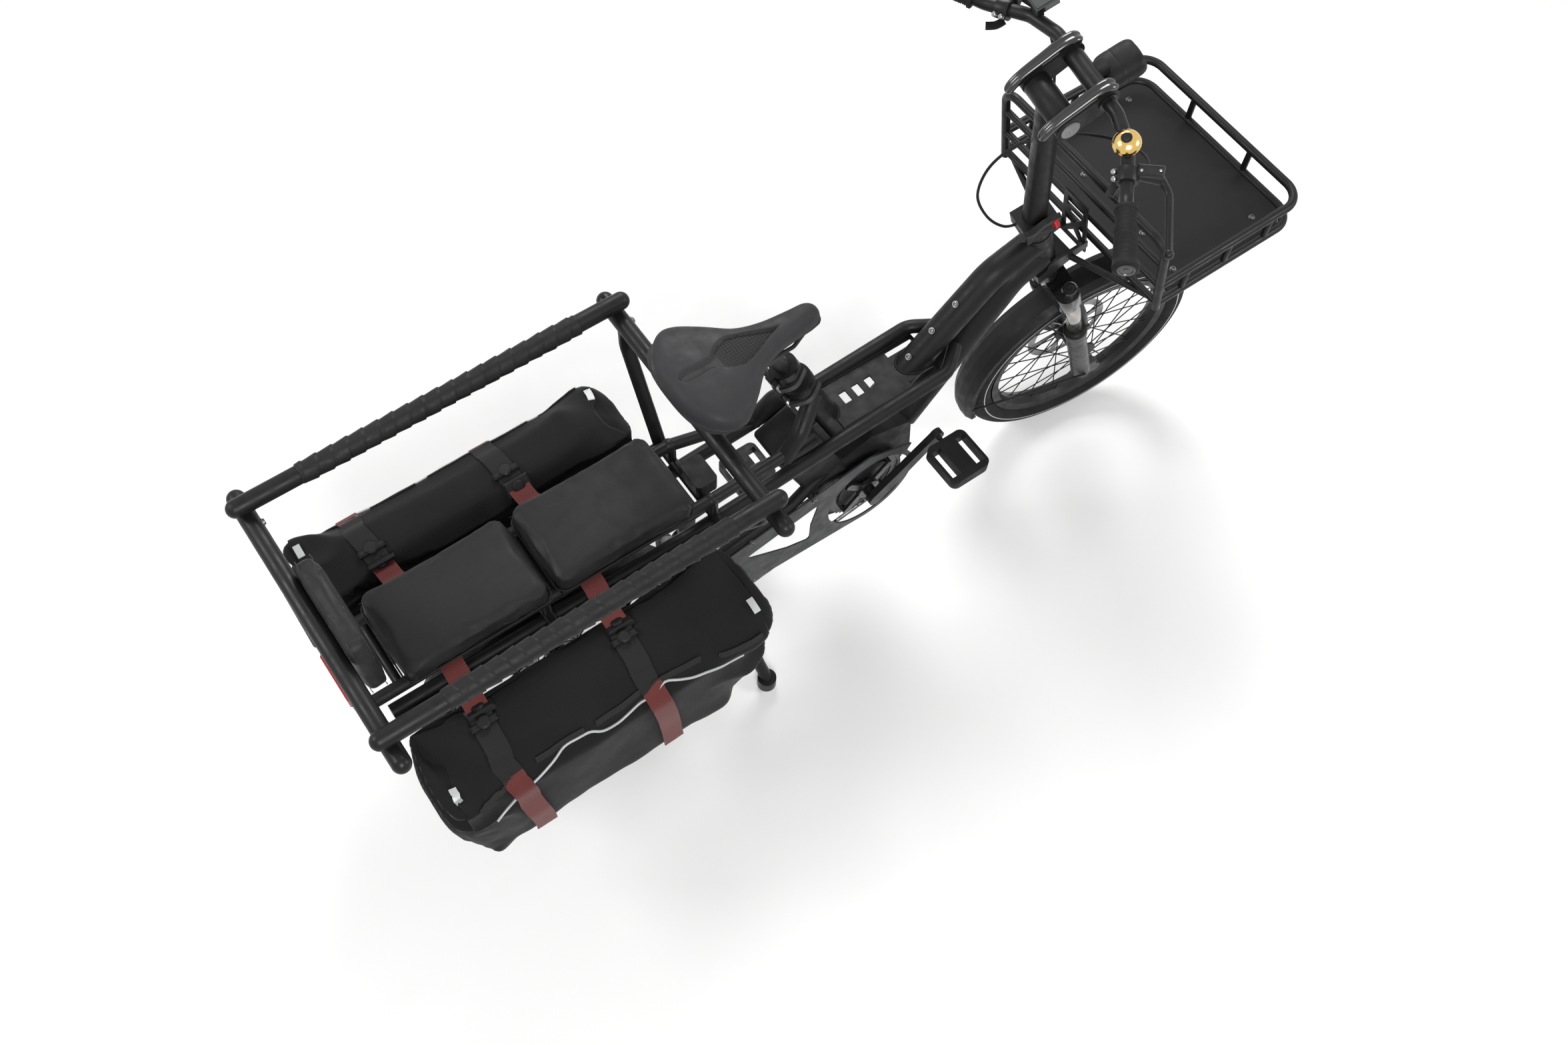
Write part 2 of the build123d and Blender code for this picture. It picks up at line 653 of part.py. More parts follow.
# Motor
motor_line = [(12, 240), (60, 214), (170, 240), (214, 330), (205, 420), (110, 452), (30, 430)]
motor = plate_y(motor_line, -38, 46)
motor = fillet(motor.edges().filter_by(Axis.Y), 18)
motor += Pos(CRANK_X, 0, CRANK_Z) * disc_y(60, -50, 58)
motor -= Pos(CRANK_X, 0, CRANK_Z) * disc_y(SPINDLE_R + RUN_GAP, -100, 100)
motor -= main_tubes
motor -= seat_tube
motor -= stays
motor = Part() + motor.solids().sort_by(SortBy.VOLUME)[-1]
nodes["motor"] = motor

# Battery behind the seat tube
seat_back = Vector(-seat_way.Z, 0, seat_way.X)
battery_plane = Plane(
    origin=seat_low + seat_way * 46 + seat_back * 78, x_dir=seat_back, z_dir=seat_way
)
battery = battery_plane * Pos(0, 0, -110) * Box(88, 84, 250, align=BASE)
battery = fillet(battery.edges(), 9)
dock = battery_plane * Pos(-49, 0, -100) * Box(16, 40, 230, align=BASE)
dock -= seat_tube
dock -= battery
battery = battery + dock.solids().sort_by(SortBy.VOLUME)[-1]
battery -= motor
battery -= stays
nodes["battery"] = battery

box_low = BAG_RAIL_Z + BAG_RAIL_R + SEAT_GAP
box = Pos(-249, 0, box_low) * Box(42, 60, DECK_BOX_H, align=BASE)
nodes["deck_box"] = fillet(box.edges().filter_by(Axis.Z), 8)

# Chain guard
guard_line = [(100, 198), (-200, 216), (-226, 376), (-112, 396), (88, 432), (190, 390)]
window_line = [(-26, 368), (-40, 300), (-40, 246), (-94, 267), (-196, 330)]
guard_shape = make_face(Polyline(*guard_line, close=True))
guard_shape += Pos(CRANK_X, CRANK_Z) * Circle(GUARD_RING_R)
guard_shape -= Pos(CRANK_X, CRANK_Z) * Circle(GUARD_OPEN_R)
window = make_face(Polyline(*window_line, close=True))
guard_shape -= fillet(window.vertices(), 7)
guard_plate = Pos(0, -GUARD_Y, 0) * extrude(Plane.XZ * guard_shape, GUARD_T)
for x, z in GUARD_BOSSES:
    guard_plate += bar((x, -GUARD_Y, z), (x, -GUARD_BOSS_Y, z), GUARD_BOSS_R)
guard_plate = guard_plate - motor - stays
nodes["chain_guard"] = Part() + guard_plate.solids().sort_by(SortBy.VOLUME)[-1]

# Chain, sprockets and derailleur
wheels = [
    (CRANK_X, CRANK_Z, CHAINRING_R, 1),
    (REAR_AXLE.X, REAR_AXLE.Z, SPROCKET_R, 1),
    (REAR_AXLE.X + GUIDE_UPPER[0], REAR_AXLE.Z + GUIDE_UPPER[1], GUIDE_R, -1),
    (REAR_AXLE.X + GUIDE_LOWER[0], REAR_AXLE.Z + GUIDE_LOWER[1], GUIDE_R, 1),
]
line = chain_line(wheels)
chain = Part()
for low, high in ((-2.9, -1.7), (1.7, 2.9)):
    chain += chain_side(line, CHAIN_Y + low, CHAIN_Y + high)
for number, point in enumerate(line):
    near = [hypot(point[0] - x, point[1] - z) for x, z, radius, sense in wheels]
    free = all(gap > wheel[2] + 8 for gap, wheel in zip(near, wheels))
    if free and number % 4 == 0:
        chain += bar((point[0], CHAIN_Y - 2.6, point[1]), (point[0], CHAIN_Y + 2.6, point[1]), 2.4)
nodes["chain"] = chain

cassette = Part()
for number in range(SPROCKET_COUNT):
    y = CHAIN_Y - 12 + SPROCKET_STEP * number
    cassette += disc_y(22 + 5.6 * number, y, y + SPROCKET_T)
cassette += disc_y(20, CHAIN_Y - 13, -HUB_FLANGE_Y - HUB_FLANGE_T / 2)
cassette -= ring(SPROCKET_R + 60, SPROCKET_R - 9, CHAIN_Y - 4.2, CHAIN_Y + 4.2)
cassette += disc_y(SPROCKET_R + 2, CHAIN_Y - SPROCKET_T / 2, CHAIN_Y + SPROCKET_T / 2)
cassette -= disc_y(AXLE_R + RUN_GAP, -100, 100)
nodes["cassette"] = REAR_PLANE * cassette

derailleur = Part()
for x, z in (GUIDE_UPPER, GUIDE_LOWER):
    derailleur += Pos(x, 0, z) * disc_y(GUIDE_R - 3, CHAIN_Y - SPROCKET_T / 2, CHAIN_Y + SPROCKET_T / 2)
    derailleur += Pos(x, 0, z) * disc_y(5, CHAIN_Y - 7, CHAIN_Y + 7)
cage_line = [(-29, -68), (-3, -68), (33, -154), (7, -160)]
for low, high in ((-8, -6), (6, 8)):
    derailleur += plate_y(cage_line, CHAIN_Y + low, CHAIN_Y + high)
hanger_y = -STAY_Y - DROPOUT_T / 2
x, z = GUIDE_UPPER
derailleur += bar((x, CHAIN_Y - 7, z), (x, hanger_y, z), 9)
derailleur += bent([(x, hanger_y, z), (x - 24, hanger_y - 8, z + 40), (-3, hanger_y - 8, -18)], 8, 12)
derailleur += bar((-3, hanger_y - 12, -18), (-3, hanger_y, -18), 8)
nodes["derailleur"] = REAR_PLANE * derailleur - stays

# Crank
arm_end = (CRANK_L * cos(radians(CRANK_ANGLE)), CRANK_L * sin(radians(CRANK_ANGLE)))
crank = Pos(CRANK_X, 0, CRANK_Z) * disc_y(SPINDLE_R, -ARM_IN_Y - ARM_T, ARM_IN_Y + ARM_T)
for side in (-1, 1):
    low = -ARM_IN_Y - ARM_T if side < 0 else ARM_IN_Y
    reach = -side
    arm = disc_y(17, low, low + ARM_T)
    arm += Pos(CRANK_L, 0, 0) * disc_y(13, low, low + ARM_T)
    arm += plate_y([(0, 17), (CRANK_L, 12), (CRANK_L, -12), (0, -17)], low, low + ARM_T)
    pin = side * (ARM_IN_Y + ARM_T)
    pin_end = pin + side * PEDAL_PIN_L
    arm += Pos(CRANK_L, 0, 0) * disc_y(PEDAL_PIN_R, min(pin, pin_end), max(pin, pin_end))
    turn = -CRANK_ANGLE if reach > 0 else 180 - CRANK_ANGLE
    crank += Pos(CRANK_X, 0, CRANK_Z) * Rot(0, turn, 0) * arm
nodes["crank"] = crank

teeth = []
for number in range(2 * CHAINRING_TEETH):
    angle = pi * number / CHAINRING_TEETH
    radius = CHAINRING_R + (2.5 if number % 2 else -3.5)
    teeth.append((radius * cos(angle), radius * sin(angle)))
chainring = plate_y(teeth, CHAIN_Y - SPROCKET_T / 2, CHAIN_Y + SPROCKET_T / 2) - disc_y(66, -100, 0)
for number in range(4):
    chainring += Rot(0, 45 + 90 * number, 0) * plate_y([(8, 9), (70, 7), (70, -7), (8, -9)], -62, -56)
    chainring += Rot(0, 45 + 90 * number, 0) * Pos(68, 0, 0) * disc_y(5, -62, CHAIN_Y + SPROCKET_T / 2)
chainring += disc_y(24, -66, -56)
chainring -= disc_y(SPINDLE_R, -100, 0)
nodes["chainring"] = Pos(CRANK_X, 0, CRANK_Z) * chainring

for name, side in (("pedal_right", -1), ("pedal_left", 1)):
    low = ARM_IN_Y + ARM_T + 11
    x = CRANK_X - side * arm_end[0]
    z = CRANK_Z - side * arm_end[1]
    pedal = Box(PEDAL_L, PEDAL_W, PEDAL_T)
    pedal = fillet(pedal.edges().filter_by(Axis.Z), 14)
    for spot in (-28, 28):
        pedal -= Pos(spot, 0, 0) * Box(20, PEDAL_W - 28, PEDAL_T * 2)
    pedal = Pos(0, side * (low + PEDAL_W / 2), 0) * pedal
    reach = side * (ARM_IN_Y + ARM_T + PEDAL_PIN_L + 2)
    start = side * (ARM_IN_Y + ARM_T)
    pedal -= disc_y(PEDAL_PIN_R + RUN_GAP, min(start, reach), max(start, reach))
    nodes[name] = Pos(x, 0, z) * pedal

# Rear wheel
nodes["rear_tyre"] = REAR_PLANE * tyre()
nodes["rear_rim"] = REAR_PLANE * spoked_wheel()
nodes["rear_disc"] = REAR_PLANE * brake_disc()
rear_guard = REAR_PLANE * fender(TYRE_R + FENDER_GAP, FENDER_HALF, 22, 196)
for side in (-1, 1):
    rear_guard += bar(
        (REAR_AXLE.X - TYRE_R, side * (FENDER_HALF - 1), REAR_AXLE.Z + 72),
        (REAR_AXLE.X - 10, side * (STAY_Y - 2), REAR_AXLE.Z + 20),
        FENDER_STAY_R,
    )
nodes["rear_fender"] = rear_guard - stays

# Saddle on its telescopic post
post_top = Vector(-101, 0, 834)
seatpost = bar(seat_top - seat_way * 150, seat_top + seat_way * 62, SEATPOST_R)
seatpost += bar(seat_top + seat_way * 44, seat_top + seat_way * 66, SEATPOST_R + 7)
seatpost += bar(seat_top + seat_way * 60, post_top + seat_way * 30, 14)
seatpost += Pos(-122, 0, 872) * Box(50, 40, 22)
for side in (-1, 1):
    seatpost += bent(
        [(-40, side * 8, 892), (-80, side * 22, 882), (-190, side * 22, 882), (-250, side * 45, 892)],
        3.5,
        20,
    )
nodes["seatpost"] = seatpost

saddle_outline = make_face(
    Polyline(
        (-18, 0),
        (-22, 16),
        (-60, 24),
        (-120, 34),
        (-180, 70),
        (-225, 102),
        (-262, 106),
        (-292, 84),
        (-302, 40),
        (-300, 0),
        (-302, -40),
        (-292, -84),
        (-262, -106),
        (-225, -102),
        (-180, -70),
        (-120, -34),
        (-60, -24),
        (-22, -16),
        close=True,
    )
)
saddle = Pos(0, 0, 896.3) * extrude(saddle_outline, 38)
saddle = fillet(saddle.faces().sort_by(Axis.Z)[-1].edges(), 9)
nodes["saddle"] = saddle

# Passenger rails
rails = Part()
for side in (-1, 1):
    rails += bar((RAIL_FRONT_X, side * RAIL_Y, RAIL_Z), (RAIL_REAR_X, side * RAIL_Y, RAIL_Z), RAIL_R)
    for x in (RAIL_FRONT_X, RAIL_REAR_X):
        rails += Pos(x, side * RAIL_Y, RAIL_Z) * Sphere(RAIL_R)
nodes["side_rails"] = rails

CROSS_Z = RAIL_Z - 2 * RAIL_R - SEAT_GAP
crossbars = Part()
for x in (CROSS_FRONT_X, CROSS_REAR_X):
    crossbars += bar((x, -CROSS_HALF + RAIL_R, CROSS_Z), (x, CROSS_HALF - RAIL_R, CROSS_Z), RAIL_R)
    for side in (-1, 1):
        crossbars += Pos(x, side * (CROSS_HALF - RAIL_R), CROSS_Z) * Sphere(RAIL_R)
nodes["crossbars"] = crossbars

uprights = Part()
for x, foot in ((CROSS_FRONT_X, BAG_RAIL_FRONT_X), (CROSS_REAR_X, BAG_RAIL_REAR_X)):
    for side in (-1, 1):
        upright_line = [
            (x, side * UPRIGHT_Y, CROSS_Z),
            (x, side * UPRIGHT_Y, CROSS_Z - 56.6),
            (foot, side * BAG_RAIL_Y, BAG_RAIL_Z),
        ]
        uprights += bent(upright_line, UPRIGHT_R, 40)
uprights -= crossbars
uprights -= rack
nodes["uprights"] = uprights

wrap = bar((-330, RAIL_Y, RAIL_Z), (-820, RAIL_Y, RAIL_Z), RAIL_R + WRAP_T)
wrap -= bar((-320, RAIL_Y, RAIL_Z), (-830, RAIL_Y, RAIL_Z), RAIL_R + SEAT_GAP)
nodes["rail_wraps"] = mirrored(wrap)

pads = []
middle = (PAD_FRONT_X + PAD_REAR_X) / 2
pad_low = RACK_Z + RACK_R + SEAT_GAP
for first, last in ((PAD_FRONT_X, middle + 3), (middle - 3, PAD_REAR_X)):
    pad = Box(first - last, 2 * PAD_HALF_W, PAD_T)
    pad = fillet(pad.edges().filter_by(Axis.Z), 22)
    pad = fillet(pad.faces().sort_by(Axis.Z)[-1].edges(), 12)
    pads.append(Pos((first + last) / 2, 0, pad_low + PAD_T / 2) * pad)
nodes["seat_pads"] = Compound([pad.solid() for pad in pads])

backrest = Box(BACKREST_T, BACKREST_W, BACKREST_H)
backrest = fillet(backrest.edges().filter_by(Axis.X), 26)
backrest = Pos(CROSS_REAR_X + RAIL_R + SEAT_GAP + BACKREST_T / 2, 0, RAIL_Z - 64.9) * backrest
nodes["backrest"] = backrest

rear_lamp = Pos(RACK_END_X + 8, 0, RACK_Z - 2) * Box(20, 2 * RACK_Y - 2 * RACK_R - 1, 34)
nodes["rear_lamp"] = fillet(rear_lamp.edges().filter_by(Axis.X), 8)

# Panniers
bag_line = [(-900, 598), (-900, 440), (-862, 302), (-345, 302), (-290, 440), (-280, 598)]
bag = plate_y(bag_line, BAG_RAIL_Y + BAG_RAIL_R + SEAT_GAP, 286)
bag = fillet(bag.edges(), 14)
nodes["pannier_left"] = bag
nodes["pannier_right"] = mirror(bag, Plane.XZ)

# Front rack
fence_lean = (FENCE_FOOT[0] - FENCE_HEAD[0]) / (FENCE_HEAD[1] - FENCE_FOOT[1])


def fence_x(z):
    """Where the leaning rear fence of the front rack stands at a height."""
    return FENCE_FOOT[0] - (z - FENCE_FOOT[1]) * fence_lean


front_rack = Part()
for z in (FRONT_RAIL_Z, FRONT_LOW_Z):
    rail_line = [
        (fence_x(z), FRONT_RAIL_Y, z),
        (FRONT_RAIL_X, FRONT_RAIL_Y, z),
        (FRONT_RAIL_X, -FRONT_RAIL_Y, z),
        (fence_x(z), -FRONT_RAIL_Y, z),
    ]
    front_rack += bent(rail_line, FRONT_RAIL_R, FRONT_BEND_R)
fence_line = [
    (FENCE_FOOT[0], FRONT_RAIL_Y, FENCE_FOOT[1]),
    (FENCE_HEAD[0], FRONT_RAIL_Y, FENCE_HEAD[1]),
    (FENCE_HEAD[0], -FRONT_RAIL_Y, FENCE_HEAD[1]),
    (FENCE_FOOT[0], -FRONT_RAIL_Y, FENCE_FOOT[1]),
]
front_rack += bent(fence_line, FRONT_RAIL_R, FENCE_BEND_R)
for z in FENCE_BAR_Z:
    front_rack += bar((fence_x(z), -FRONT_RAIL_Y, z), (fence_x(z), FRONT_RAIL_Y, z), FENCE_BAR_R)
tray_bar_z = FRONT_LOW_Z - TRAY_T / 2 - SEAT_GAP - FENCE_BAR_R
for x in TRAY_BAR_X:
    front_rack += bar((x, -FRONT_RAIL_Y, tray_bar_z), (x, FRONT_RAIL_Y, tray_bar_z), FENCE_BAR_R)
for x in FRONT_POST_X:
    for side in (-1, 1):
        spot = side * FRONT_RAIL_Y
        front_rack += bar((x, spot, FRONT_LOW_Z), (x, spot, FRONT_RAIL_Z), FRONT_POST_R)
for side in (-1, 1):
    spot = side * FRONT_POST_Y
    front_rack += bar((FRONT_RAIL_X, spot, FRONT_LOW_Z), (FRONT_RAIL_X, spot, FRONT_RAIL_Z), FRONT_POST_R)
nodes["front_rack"] = front_rack

tray_inset = FRONT_RAIL_R + SEAT_GAP
tray_front_x = FRONT_RAIL_X - tray_inset
tray = Box(tray_front_x - TRAY_REAR_X, 2 * (FRONT_RAIL_Y - tray_inset), TRAY_T)
tray = fillet(tray.edges().filter_by(Axis.Z), FRONT_BEND_R - tray_inset)
tray = Pos((tray_front_x + TRAY_REAR_X) / 2, 0, FRONT_LOW_Z) * tray
nodes["rack_tray"] = tray

# Bracket plate, arms and struts from the head tube to the front rack
brackets = Part()
plate_line = [(-34, -76), (34, -76), (30, 62), (-30, 62)]
cut_lines = [
    [(-22, -66), (22, -66), (0, -38)],
    [(-24, -52), (-24, 2), (-7, -26)],
    [(24, -52), (24, 2), (7, -26)],
    [(-20, 14), (20, 14), (0, -16)],
    [(-22, 24), (22, 24), (20, 50), (-20, 50)],
]
face = make_face(Polyline(*plate_line, close=True))
for cut_line in cut_lines:
    face -= make_face(Polyline(*cut_line, close=True))
lean_way = Vector(-fence_lean, 0, 1).normalized()
fence_back = Vector(-lean_way.Z, 0, lean_way.X)
plate_middle = Vector(fence_x(BRACKET_Z), 0, BRACKET_Z) + fence_back * (FRONT_RAIL_R + SEAT_GAP)
fence_plane = Plane(origin=plate_middle, x_dir=(0, -1, 0), z_dir=fence_back)
brackets += fence_plane * extrude(face, BRACKET_T)
bracket_arm = [(478, 652), (484, 690), (574, 694), (578, 676)]
for side in (-1, 1):
    middle = side * BRACKET_ARM_Y
    brackets += plate_y(bracket_arm, middle - BRACKET_ARM_T / 2, middle + BRACKET_ARM_T / 2)
    brackets += bar((540, middle, 672), (582, side * 190, 699), BRACKET_STRUT_R)
clamp_block = HEAD_PLANE * Pos(6, 0, 446) * Box(78, 68, 26)
brackets += clamp_block
brackets -= HEAD_PLANE * Pos(0, 0, 300) * Cylinder(HEAD_R + SEAT_GAP, 400, align=BASE)
brackets -= front_rack
brackets -= tray
brackets -= main_tubes
nodes["rack_brackets"] = Part() + brackets.solids().sort_by(SortBy.VOLUME)[-1]

# Centre stand
stand = Part()
for side in (-1, 1):
    stand += disc_y(STAND_TUBE_R, min(side * 66, side * 92), max(side * 66, side * 92))
    leg = bent(
        [(0, side * 80, 0), (0, side * 86, -30), (STAND_FORWARD, side * STAND_FOOT_Y, 24 - STAND_Z)],
        STAND_LEG_R,
        30,
    )
    foot = Pos(STAND_FORWARD, side * STAND_FOOT_Y, -STAND_Z) * Cylinder(19, 30, align=BASE)
    stand += leg + foot
link = bent([(6, -84, -24), (12, -60, -60), (12, 60, -60), (6, 84, -24)], 8, 20)
stand += link
stand -= disc_y(STAND_PIN_R + RUN_GAP, -200, 200)
nodes["stand"] = Pos(STAND_X, 0, STAND_Z) * stand

os.makedirs("parts", exist_ok=True)
for name, shape in nodes.items():
    export_step(Compound(shape.solids()), f"parts/{name}.step")
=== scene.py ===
import json
from math import atan2, cos, exp, pi, radians, sin

import bmesh
import bpy
from mathutils import Matrix, Vector, noise
from mathutils.bvhtree import BVHTree


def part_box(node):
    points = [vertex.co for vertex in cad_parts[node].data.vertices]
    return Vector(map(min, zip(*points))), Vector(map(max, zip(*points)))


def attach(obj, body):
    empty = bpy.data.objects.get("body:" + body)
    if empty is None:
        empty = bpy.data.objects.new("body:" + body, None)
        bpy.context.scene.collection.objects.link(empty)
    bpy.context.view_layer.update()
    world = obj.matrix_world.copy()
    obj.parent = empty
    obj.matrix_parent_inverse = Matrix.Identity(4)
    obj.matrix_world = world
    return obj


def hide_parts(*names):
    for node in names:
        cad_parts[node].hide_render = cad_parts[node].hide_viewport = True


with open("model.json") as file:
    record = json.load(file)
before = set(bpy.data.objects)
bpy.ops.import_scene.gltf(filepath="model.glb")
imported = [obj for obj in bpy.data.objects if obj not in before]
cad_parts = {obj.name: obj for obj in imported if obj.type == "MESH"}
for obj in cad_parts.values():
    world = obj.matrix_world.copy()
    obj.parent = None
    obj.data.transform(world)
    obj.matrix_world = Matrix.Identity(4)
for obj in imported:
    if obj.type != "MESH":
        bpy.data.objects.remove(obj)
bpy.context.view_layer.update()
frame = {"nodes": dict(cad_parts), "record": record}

# Camera of the photograph
CAMERA_PLACE = (-0.9526, -1.0896, 2.8995)
CAMERA_TURN = (0.484734, -0.037322, -0.619292)
CAMERA_LENS = 35.485

# Sizes in metres that the looks share with the solids
TYRE_R = 0.258
TYRE_HALF = 0.0275
STEER_REST = radians(-8.5)
RAIL_R = 0.015
STRAP_X = (-0.512, -0.768)
STRAP_HALF = 0.019
WEB_T = 0.0016
BOSS_PITCH = 0.064


def joint(name):
    """The record's joint of that name."""
    joints = frame["record"]["behaviour"]["joints"]
    return next(item for item in joints if item["name"] == name)


def mount(name):
    """The record's mount of that name."""
    return next(item for item in frame["record"]["mounts"] if item["name"] == name)


def axis_frame(place, axis, ahead):
    """A matrix with Z along an axis and X as near as it can be to a given way."""
    z = Vector(axis).normalized()
    x = Vector(ahead)
    x = (x - z * x.dot(z)).normalized()
    y = z.cross(x)
    basis = Matrix((x, y, z)).transposed().to_4x4()
    return Matrix.Translation(Vector(place)) @ basis


STEER = axis_frame(joint("steering")["pos_m"], joint("steering")["axis"], (1, 0, 0))
STEER = STEER @ Matrix.Rotation(STEER_REST, 4, "Z")


def steer_point(x, y, z):
    """A place given in millimetres in the steering frame, in metres in the shared frame."""
    return STEER @ Vector((x * 0.001, y * 0.001, z * 0.001))


def steer_way(x, y, z):
    """A direction given in the steering frame, in the shared frame."""
    return STEER.to_3x3() @ Vector((x, y, z))


# Materials
def shader(name):
    """A new node material and its parts."""
    made = bpy.data.materials.new(name)
    made.use_nodes = True
    nodes = made.node_tree.nodes
    return made, nodes, made.node_tree.links, nodes["Principled BSDF"]


def set_sockets(node, values):
    """Constants set on a node's own sockets."""
    for name, value in values.items():
        node.inputs[name].default_value = value


def ramp_between(nodes, links, source, low, high):
    """A source from 0 to 1 spread between two values."""
    spread = nodes.new("ShaderNodeMapRange")
    set_sockets(spread, {"From Min": 0.3, "From Max": 0.7, "To Min": low, "To Max": high})
    links.new(source, spread.inputs["Value"])
    return spread.outputs["Result"]


def noise_node(nodes, links, place, scale, detail=3.0):
    """A noise texture in the piece's own coordinates, in cycles per metre."""
    made = nodes.new("ShaderNodeTexNoise")
    set_sockets(made, {"Scale": scale, "Detail": detail})
    links.new(place, made.inputs["Vector"])
    return made.outputs["Fac"]


def two_tone(nodes, links, source, tone, dark, light):
    """A tone between a dark and a light share of it, after a source from 0 to 1."""
    mix = nodes.new("ShaderNodeMix")
    mix.data_type = "RGBA"
    mix.inputs["A"].default_value = (*(part * dark for part in tone), 1)
    mix.inputs["B"].default_value = (*(part * light for part in tone), 1)
    links.new(source, mix.inputs["Factor"])
    return mix.outputs["Result"]


def joined(nodes, links, operation, first, second):
    """Two sources worked into one, or the second alone where there is no first."""
    if first is None:
        return second
    made = nodes.new("ShaderNodeMath")
    made.operation = operation
    links.new(first, made.inputs[0])
    links.new(second, made.inputs[1])
    return made.outputs["Value"]


def bump_from(nodes, links, source, strength, depth):
    """A bump of a depth in metres."""
    made = nodes.new("ShaderNodeBump")
    set_sockets(made, {"Strength": strength, "Distance": depth})
    links.new(source, made.inputs["Height"])
    return made.outputs["Normal"]


def surface(name, tone, rough, metal=0.0, patch=9.0, grain=900.0, depth=0.0002, spread=0.35,
            coat=0.0, sheen=0.0, even=0.12, specular=0.5):
    """A finish with cloudy tone and gloss and a fine grain."""
    made, nodes, links, out = shader(name)
    place = nodes.new("ShaderNodeTexCoord").outputs["Object"]
    cloud = noise_node(nodes, links, place, patch)
    links.new(two_tone(nodes, links, cloud, tone, 1 - spread, 1 + spread), out.inputs["Base Color"])
    gloss = noise_node(nodes, links, place, patch * 4.7)
    links.new(ramp_between(nodes, links, gloss, rough - even, rough + even), out.inputs["Roughness"])
    fine = noise_node(nodes, links, place, grain, 2.0)
    links.new(bump_from(nodes, links, fine, 0.5, depth), out.inputs["Normal"])
    values = {"Metallic": metal, "Coat Weight": coat, "Coat Roughness": 0.15, "Sheen Weight": sheen}
    set_sockets(out, values | {"Sheen Roughness": 0.5, "Specular IOR Level": specular})
    return made


def woven(name, tone, rough, threads, depth, sheen=0.2, spread=0.3):
    """A cloth of crossed threads, in threads per metre."""
    made, nodes, links, out = shader(name)
    place = nodes.new("ShaderNodeTexCoord").outputs["Object"]
    total = None
    for way in ("X", "Y", "Z"):
        wave = nodes.new("ShaderNodeTexWave")
        wave.bands_direction = way
        set_sockets(wave, {"Scale": threads / 20, "Distortion": 0.6})
        links.new(place, wave.inputs["Vector"])
        total = joined(nodes, links, "ADD", total, wave.outputs["Fac"])
    cloud = noise_node(nodes, links, place, 14.0)
    links.new(two_tone(nodes, links, cloud, tone, 1 - spread, 1 + spread), out.inputs["Base Color"])
    links.new(ramp_between(nodes, links, cloud, rough - 0.08, rough + 0.08), out.inputs["Roughness"])
    links.new(bump_from(nodes, links, total, 0.5, depth), out.inputs["Normal"])
    set_sockets(out, {"Sheen Weight": sheen, "Sheen Roughness": 0.4, "Specular IOR Level": 0.12})
    return made


def dotted(name, tone, rough, dots, depth):
    """A moulded cover with rows of small dimples, in dots per metre."""
    made, nodes, links, out = shader(name)
    place = nodes.new("ShaderNodeTexCoord").outputs["Object"]
    cells = nodes.new("ShaderNodeTexVoronoi")
    set_sockets(cells, {"Scale": dots, "Randomness": 0.0})
    links.new(place, cells.inputs["Vector"])
    cloud = noise_node(nodes, links, place, 20.0)
    links.new(two_tone(nodes, links, cloud, tone, 0.7, 1.0), out.inputs["Base Color"])
    hole = nodes.new("ShaderNodeMapRange")
    set_sockets(hole, {"From Min": 0.15, "From Max": 0.38})
    links.new(cells.outputs["Distance"], hole.inputs["Value"])
    links.new(bump_from(nodes, links, hole.outputs["Result"], 0.8, depth), out.inputs["Normal"])
    set_sockets(out, {"Roughness": rough, "Specular IOR Level": 0.15})
    return made


def lens(name, tone, rough, through):
    """A clear or coloured moulded lens."""
    made, nodes, links, out = shader(name)
    place = nodes.new("ShaderNodeTexCoord").outputs["Object"]
    cells = noise_node(nodes, links, place, 400.0)
    links.new(bump_from(nodes, links, cells, 0.2, 0.0003), out.inputs["Normal"])
    set_sockets(out, {"Base Color": (*tone, 1), "Roughness": rough, "Transmission Weight": through})
    return made


PAINT = surface("matt_black_paint", (0.0075, 0.0075, 0.0080), 0.46, grain=1600, depth=0.00006, specular=0.17)
SATIN = surface("satin_black_tube", (0.0080, 0.0080, 0.0085), 0.40, grain=1900, depth=0.00005, specular=0.19)
ALLOY = surface("black_alloy", (0.014, 0.014, 0.015), 0.36, 0.25, grain=2200, depth=0.00004, specular=0.22)
STEEL = surface("steel", (0.34, 0.34, 0.35), 0.30, 1.0, patch=30, depth=0.00004, spread=0.15)
BOLT = surface("bolt_steel", (0.17, 0.17, 0.175), 0.42, 1.0, patch=60, depth=0.00004, spread=0.12)
DARK_STEEL = surface("dark_steel", (0.085, 0.085, 0.09), 0.36, 1.0, patch=30, depth=0.00004)
CHROME = surface("chrome", (0.42, 0.41, 0.40), 0.20, 1.0, patch=30, depth=0.00002, spread=0.08, even=0.05)
BRASS = surface("brass", (0.74, 0.50, 0.17), 0.16, 1.0, patch=60, depth=0.00003, spread=0.12, even=0.06)
MOULDED = surface("moulded_black", (0.0085, 0.0085, 0.0090), 0.50, grain=1300, depth=0.00018, specular=0.16)
GLOSS = surface("gloss_black", (0.006, 0.006, 0.0065), 0.16, coat=0.5, depth=0.00002, even=0.06)
GREY_PLATE = surface("dark_grey_plate", (0.030, 0.031, 0.033), 0.42, 0.1, grain=1800, depth=0.00006,
                     specular=0.2)
LOWERS = surface("grey_lowers", (0.050, 0.050, 0.052), 0.40, 0.35, patch=14, grain=1800, depth=0.00006,
                 specular=0.25)
GREY_CAP = surface("grey_cap", (0.20, 0.20, 0.205), 0.40, 0.5, patch=40, depth=0.00004)
RUBBER = surface("tyre_rubber", (0.012, 0.012, 0.012), 0.74, grain=700, depth=0.0003, spread=0.4,
                 specular=0.13)
GRIP = surface("grip_rubber", (0.011, 0.011, 0.0115), 0.64, grain=1500, depth=0.0003, specular=0.16)
